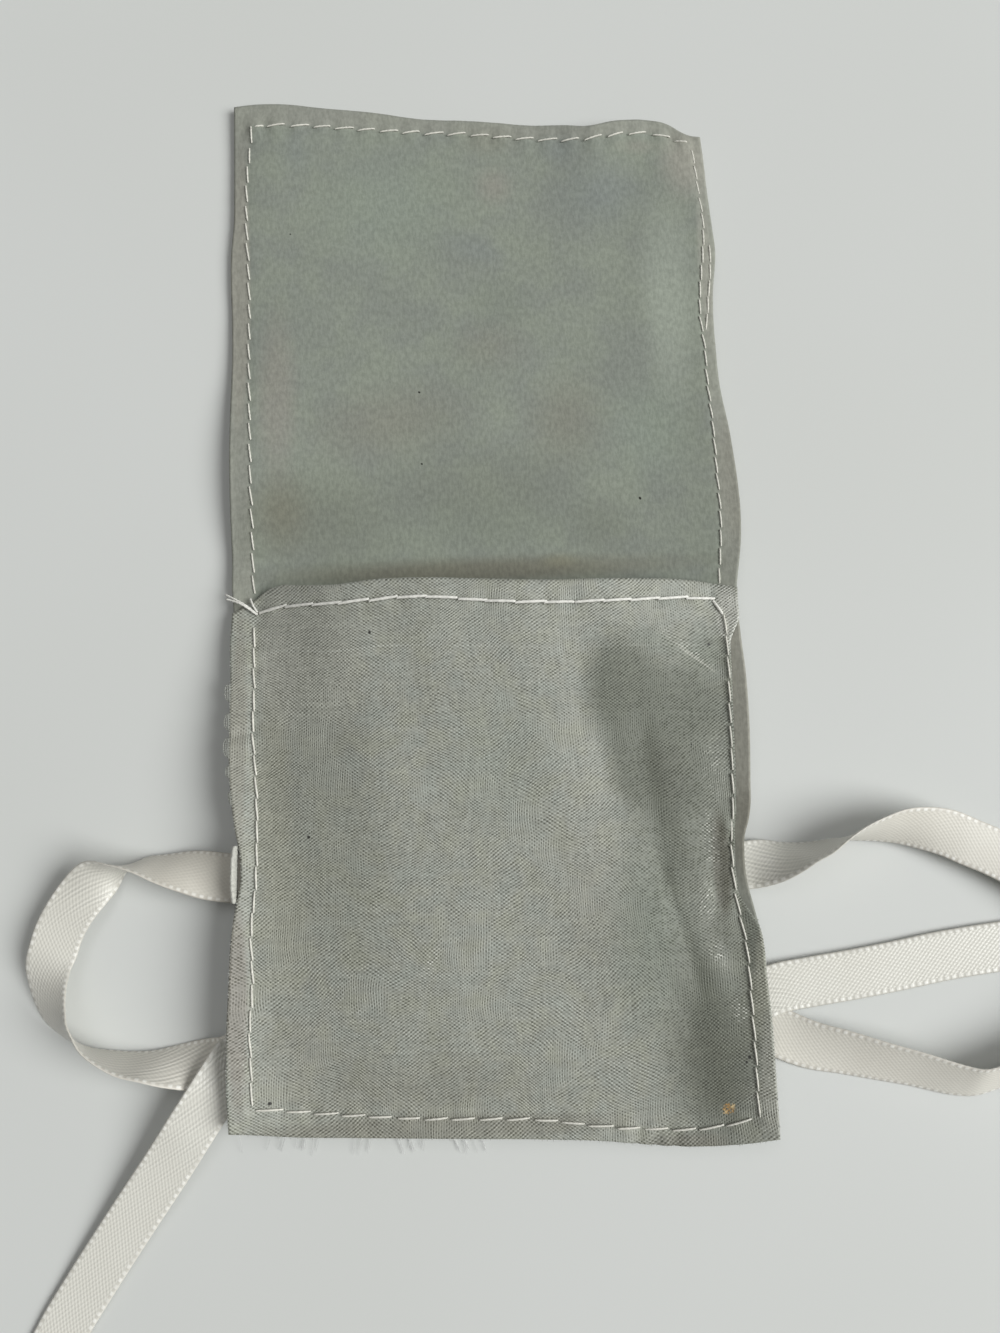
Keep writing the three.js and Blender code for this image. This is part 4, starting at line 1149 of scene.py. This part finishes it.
def make_front(hem):
    """The pocket front: one ply of the woven cloth, turned over at the mouth into its hem.

    Its ply lies by a set depth under the front's upper face, turns under by a half circle and
    runs on a little way inside the mouth."""
    x, y = plan(SIDE_STEPS, steps((6.0, 0.4), (58.0, 0.7), (9.0, 0.3)), bottom_edge, mouth_edge,
                right=front_right)
    z = front_top(x, y) - FRONT_SINK
    lip = np.linspace(0, math.pi, 7)[1:, None]
    under_x = np.repeat(x[-1:], 3, 0)
    under_y = y[-1:] - np.linspace(0.3, 1.2, 3)[:, None]
    x = np.concatenate([x, np.repeat(x[-1:], len(lip), 0), under_x])
    y = np.concatenate([y, y[-1:] + FRONT_PLY * np.sin(lip) - 0.05, under_y])
    z = np.concatenate([z, z[-1:] - FRONT_PLY * (1 - np.cos(lip)),
                        front_top(under_x, under_y) - FRONT_SINK - 2 * FRONT_PLY])
    named = {"below_mouth": mouth_edge(x) - y, "margin": margin_of(x, y, bottom_seam, top_edge)}
    front = new_mesh("pocket_front_cloth", placed(np.stack([x, y, z], -1).reshape(-1, 3)),
                     grid_faces(*x.shape), np.stack([x, y], -1).reshape(-1, 2), named, [FRONT_CLOTH])
    thicken(front, FRONT_PLY)
    settle(front, "woven", "pocket", "pocket_front")


def thicken(piece, thickness):
    """Gives a sheet its thickness, half to each side."""
    solid = piece.modifiers.new("thickness", "SOLIDIFY")
    solid.thickness = thickness * MM
    solid.offset = 0.0
    bpy.context.view_layer.objects.active = piece
    with bpy.context.temp_override(object=piece, active_object=piece):
        bpy.ops.object.modifier_apply(modifier=solid.name)


def make_hem():
    """The turned-in hem, under the front from just inside the mouth to its raw edge."""
    u, v = np.meshgrid(steps((59.0, 0.8)), np.linspace(0, 1, 12))
    reach = PUFF_HALF_WIDTH - HEM_SIDE_GAP
    x = -reach + 2 * reach * u
    y = mouth_edge(x) - HEM_DEPTH - 0.2 + (HEM_DEPTH - 1.2) * v
    top = front_top(x, y) - HEM_SINK
    hem = cloth_shell("mouth_hem_cloth", x, y, top - HEM_PLY, top, COVER_CLOTH)
    settle(hem, "hem_cloth", "pocket", "mouth_hem")
    return hem


make_back()
make_front(make_hem())


# Seams
MOUTH_CORNER = ((31.2, -3.7), (32.3, -5.6))  # the mouth's last stitch, round the corner


def sunk_right(x, y):
    """The flap's right seam lies deep in the nap towards the tip."""
    return 0.11 * float(smooth((y - 46) / 10))


def sew(name, seam, height, node, body, material=SEAM_THREAD, diameter=THREAD, **more):
    """Stitches of a seam, or between given ends, as one piece."""
    ends = seam.ends() if isinstance(seam, Seam) else seam
    settle(stitched(name, ends, height, diameter, material, **more), "thread", body, node)


def make_seams():
    """All the stitches of the pouch, and those of the under threads on the cloth's far side."""
    for side, seam in POCKET_SEAMS.items():
        diameter, proud = (0.25, 0.12) if side == "right" else (0.28, 0.2)
        sew(f"pocket_stitches_{side}", seam, front_top, "pocket_seam_thread", "pocket",
            diameter=diameter, proud=proud)
        sew(f"pocket_under_stitches_{side}", seam, cover_under, "pocket_under_thread", "pocket", face=-1.0)
    for side, seam in FLAP_SEAMS.items():
        body = "flap" if side == "top" else None
        sew(f"flap_stitches_{side}", seam, lining_top, "flap_seam_thread", body, diameter=0.25,
            proud=0.16, sunk=sunk_right if side == "right" else None)
        sew(f"flap_under_stitches_{side}", seam, cover_under, "flap_under_thread", body, face=-1.0)
    sew("flap_backtack_stitches", SECOND_SEAM, lining_top, "flap_backtack_thread", "flap",
        diameter=0.25, proud=0.12)
    mouth = np.concatenate([MOUTH_SEAM.ends(), [MOUTH_CORNER]])
    sew("mouth_stitches", mouth, front_top, "mouth_thread", "pocket", WHITE_THREAD, MOUTH_THREAD,
        sink=0.1, bare=0.75)
    sew("mouth_under_stitches", MOUTH_SEAM.ends()[1:-1], lambda x, y: front_top(x, y) - 1.2,
        "mouth_under_thread", "pocket", face=-1.0)


make_seams()


# The loose ends' points: x, y, and z from the front's height at the corner
TAILS = (
    ((-31.6, -2.9, 0.1), (-33.3, -1.5, 0.4), (-36.1, 0.2, -0.3)),
    ((-31.7, -2.9, 0.3), (-33.8, -1.4, 0.5), (-35.9, -0.5, 0.0)),
    ((-31.6, -2.6, 0.1), (-32.2, -1.6, 0.2), (-32.7, -0.5, -0.4)),
)


def make_tails():
    """Loose thread ends at the mouth's left corner: each a curve through three points."""
    z = float(front_top(np.array(-31.4), np.array(-3.4)))
    parts = []
    for points in TAILS:
        line = curve_through(np.array(points) + (0.0, 0.0, z), 12)
        run = run_of(line)
        line = sampled(marks_on(run, 0.15), run, line)
        parts.append(swept(line, np.full(len(line), THREAD * 0.45)))
    settle(joined("mouth_thread_tails", parts, WHITE_THREAD), "thread", "pocket", "mouth_thread_tail")


make_tails()


# The tabs under the back, from x to x, and the left tie's raw end
TABS = {"left": (-32.6, -26.1), "right": (27.3, 31.9)}
RAW_END_X = -34.45
RAW_END_WIDTH = 0.82
RAW_END_LENGTH = 7.3
RAW_END_EDGE = 0.35  # its thickness at its sides
RAW_END_SWELL = 0.7  # how much thicker its middle is


def make_tabs():
    """The ties' sewn ends, flat under the back, and the left tie's raw end turned out beside it.

    The raw end is a narrow strip that swells by a root of a half sine across, with random fuzz."""
    for side, ends in TABS.items():
        x, y = np.meshgrid(np.linspace(*ends, 14), TIE_Y + RIBBON_WIDTH * np.linspace(-0.5, 0.5, 14))
        top = lift(x, y) - TAB_GAP
        tab = cloth_shell(f"ribbon_tab_{side}", x, y, top - TAB_THICKNESS, top, SATIN_BACK)
        settle(tab, "satin", "pocket", f"tie_tab_{side}")
    u, v = np.meshgrid(np.linspace(0, 1, 9), np.linspace(-0.5, 0.5, 90))
    y = TIE_Y + 0.7 + RAW_END_LENGTH * v
    fuzz = RANDOM.normal(0, 0.035, v.shape)
    x = RAW_END_X + 0.25 * np.abs(2 * v) ** 3 + RAW_END_WIDTH * u + fuzz * (u > 0.6)
    low = lift(x, y) + LINING_BOTTOM + 0.35
    high = low + RAW_END_EDGE + RAW_END_SWELL * np.sin(u * math.pi) ** 0.6 + fuzz
    settle(cloth_shell("ribbon_end_left", x, y, low, high, RAW_SATIN), "satin", "pocket", "tie_end_left")


make_tabs()


# Frayed edges
def along_edge(curve, upright, start, end, spacing):
    """Places along a raw edge, unevenly spaced."""
    count = int(abs(end - start) / spacing)
    t = start + (end - start) * (np.arange(count) + RANDOM.uniform(-0.45, 0.45, count)) / count
    pair = (curve(t), t)
    return np.stack(pair if upright else pair[::-1], -1)


def fibres(sides, height, spacing, longest, spread):
    """Roots and tips of fibres that stand out of raw edges, at random lengths and angles.

    A side is an edge, whether it is upright, its start and end, and which way is outward."""
    roots, tips = [], []
    for *side, outward in sides:
        place = along_edge(*side, spacing)
        count = len(place)
        angle = np.arctan2(outward[1], outward[0]) + RANDOM.normal(0, spread, count)
        length = longest * RANDOM.uniform(0.25, 1.0, count)
        z = height(place[:, 0], place[:, 1]) + RANDOM.uniform(-0.55, -0.05, count)
        roots.append(np.c_[place - 0.1 * np.array(outward), z])
        rise = RANDOM.uniform(-0.3, 0.25, count) * length
        tips.append(roots[-1] + np.c_[np.cos(angle) * length, np.sin(angle) * length, rise])
    return roots, tips


# Clumps of frayed weft that stand out of the pocket's left edge: y, half height, reach
CLUMPS = ((-13.8, 1.25, 0.75), (-17.8, 1.2, 0.7), (-21.3, 1.4, 0.75), (-24.6, 0.8, 0.5), (-28.0, 0.9, 0.3))


def make_frays():
    """Nap fibres along the flap's raw edges, and threads of the weave along the pocket's."""
    sides = ((left_edge, True, 1, 76, (-1, 0)), (right_edge, True, 1, 68, (1, 0)),
             (top_edge, False, -35, 34.6, (0, 1)))
    nap = strands("flap_edge_nap", *fibres(sides, lining_top, 0.12, 0.26, 0.8), 0.022, NAP_FIBRE)
    settle(nap, "suede", None)
    sides = ((left_edge, True, -69, -4, (-1, 0)), (right_edge, True, -72.5, -46, (1, 0)),
             (bottom_edge, False, -34, 34, (0, -1)))
    fray = strands("pocket_edge_fray", *fibres(sides, front_top, 0.2, 0.34, 0.5), 0.055, FRAY_THREAD)
    settle(fray, "woven", "pocket")


def make_clumps():
    """Loops of frayed weft beside the pocket's left edge, held together by three loose warp threads."""
    roots, tips = [], []
    for middle, half, reach in CLUMPS:
        y = np.arange(middle - half, middle + half, 0.26)
        y = y + RANDOM.normal(0, 0.03, len(y))
        round_off = np.sqrt(np.maximum(0.05, 1 - np.abs((y - middle) / half) ** 3))
        out = reach * round_off * RANDOM.uniform(0.85, 1.05, len(y))
        x = left_edge(y)
        z = front_top(x, y) - 0.03
        roots.append(np.c_[x + 0.2, y, z])
        tips.append(np.c_[x - out, y + RANDOM.normal(0, 0.05, len(y)), z - 0.1])
        for share in (0.12, 0.5, 0.92):
            ends = np.c_[x - out * share, y, z - 0.1 * share + 0.05]
            roots.append(ends[:-1])
            tips.append(ends[1:])
    settle(strands("pocket_edge_clumps", roots, tips, 0.062, CLUMP_THREAD, taper=0.1), "woven", "pocket")


# Sheer remnants under the bottom edge: start and end along it, reach, lean
REMNANTS = (
    (-28.2, -22.4, 2.3, -2.2), (-18.6, -16.2, 2.2, -2.0), (-15.6, -13.0, 2.2, 2.0), (-9.0, -3.8, 2.0, 2.2),
    (-10.6, -9.2, 1.6, -1.8), (-34.4, -34.1, 2.6, 0.2),
)


def make_ravel():
    """Sheer remnants of the weave that hang from under the pocket's bottom edge to the table."""
    roots, tips = [], []
    for start, end, reach, lean in REMNANTS:
        x = np.arange(start, end, 0.6)
        x = x + RANDOM.normal(0, 0.16, len(x))
        y = bottom_edge(x)
        down = 1.0 + reach * RANDOM.uniform(0.55, 1.05, len(x))
        roots.append(np.c_[x, y + 4.0, lift(x, y + 4.0)])
        tips.append(np.c_[x + lean * RANDOM.uniform(0.5, 1.3, len(x)), y - down, np.full(len(x), 0.3)])
    settle(strands("pocket_bottom_ravel", roots, tips, 0.045, RAVEL_THREAD, taper=0.5), "woven", "pocket")


make_frays()
make_clumps()
make_ravel()


# Table, lights and surroundings
TABLE_SIDE = 1.2


def make_table():
    """A pale table, square, whose top is at the row frame's level."""
    material, w, shader = new_material("table_top")
    tone = w.noise(w.put("TexCoord").outputs["Object"], 9.0, 2, 0.5)
    colour = w.mix(w.range(tone, 0.3, 0.7), linear(207, 209, 206), linear(210, 212, 210))
    set_shader(w, shader, Base_Color=colour, Roughness=0.6, Specular_IOR_Level=0.3)
    corners = [(TABLE_SIDE * x, TABLE_SIDE * y, 0) for x, y in ((-1, -1), (1, -1), (1, 1), (-1, 1))]
    new_mesh("table", corners, [[0, 1, 2, 3]], materials=[material])


def make_surroundings():
    """A dim room, paler where it is looked at, mirrored or seen through cloth."""
    world = bpy.data.worlds.new("surroundings")
    bpy.context.scene.world = world
    world.use_nodes = True
    w = Tree(world.node_tree)
    sky = world.node_tree.nodes["Background"]
    sky.inputs["Color"].default_value = (1.0, 0.99, 0.97, 1.0)
    rays = w.put("LightPath").outputs
    seen = w.math("MAXIMUM", rays["Is Glossy Ray"], rays["Is Transmission Ray"])
    seen = w.math("MAXIMUM", rays["Is Camera Ray"], seen)
    w.feed(sky.inputs["Strength"], w.math("MULTIPLY_ADD", seen, 0.3, 0.165))


def make_lamp(name, place, size, power, colour):
    """A round lamp that shines at the origin."""
    data = bpy.data.lights.new(name, "AREA")
    data.shape, data.size, data.energy, data.color = "DISK", size, power, colour
    light = bpy.data.objects.new(name, data)
    bpy.context.scene.collection.objects.link(light)
    light.location = place
    light.rotation_mode = "QUATERNION"
    light.rotation_quaternion = (-Vector(place)).to_track_quat("-Z", "Y")


make_table()
make_surroundings()
make_lamp("window", (2.60, -0.59, 2.26), 2.5, 137.0, (0.99, 1.0, 0.99))
make_lamp("ceiling", (-0.20, 0.60, 1.75), 1.3, 5.2, (0.99, 1.0, 1.0))
bpy.context.scene.view_settings.view_transform = "Standard"
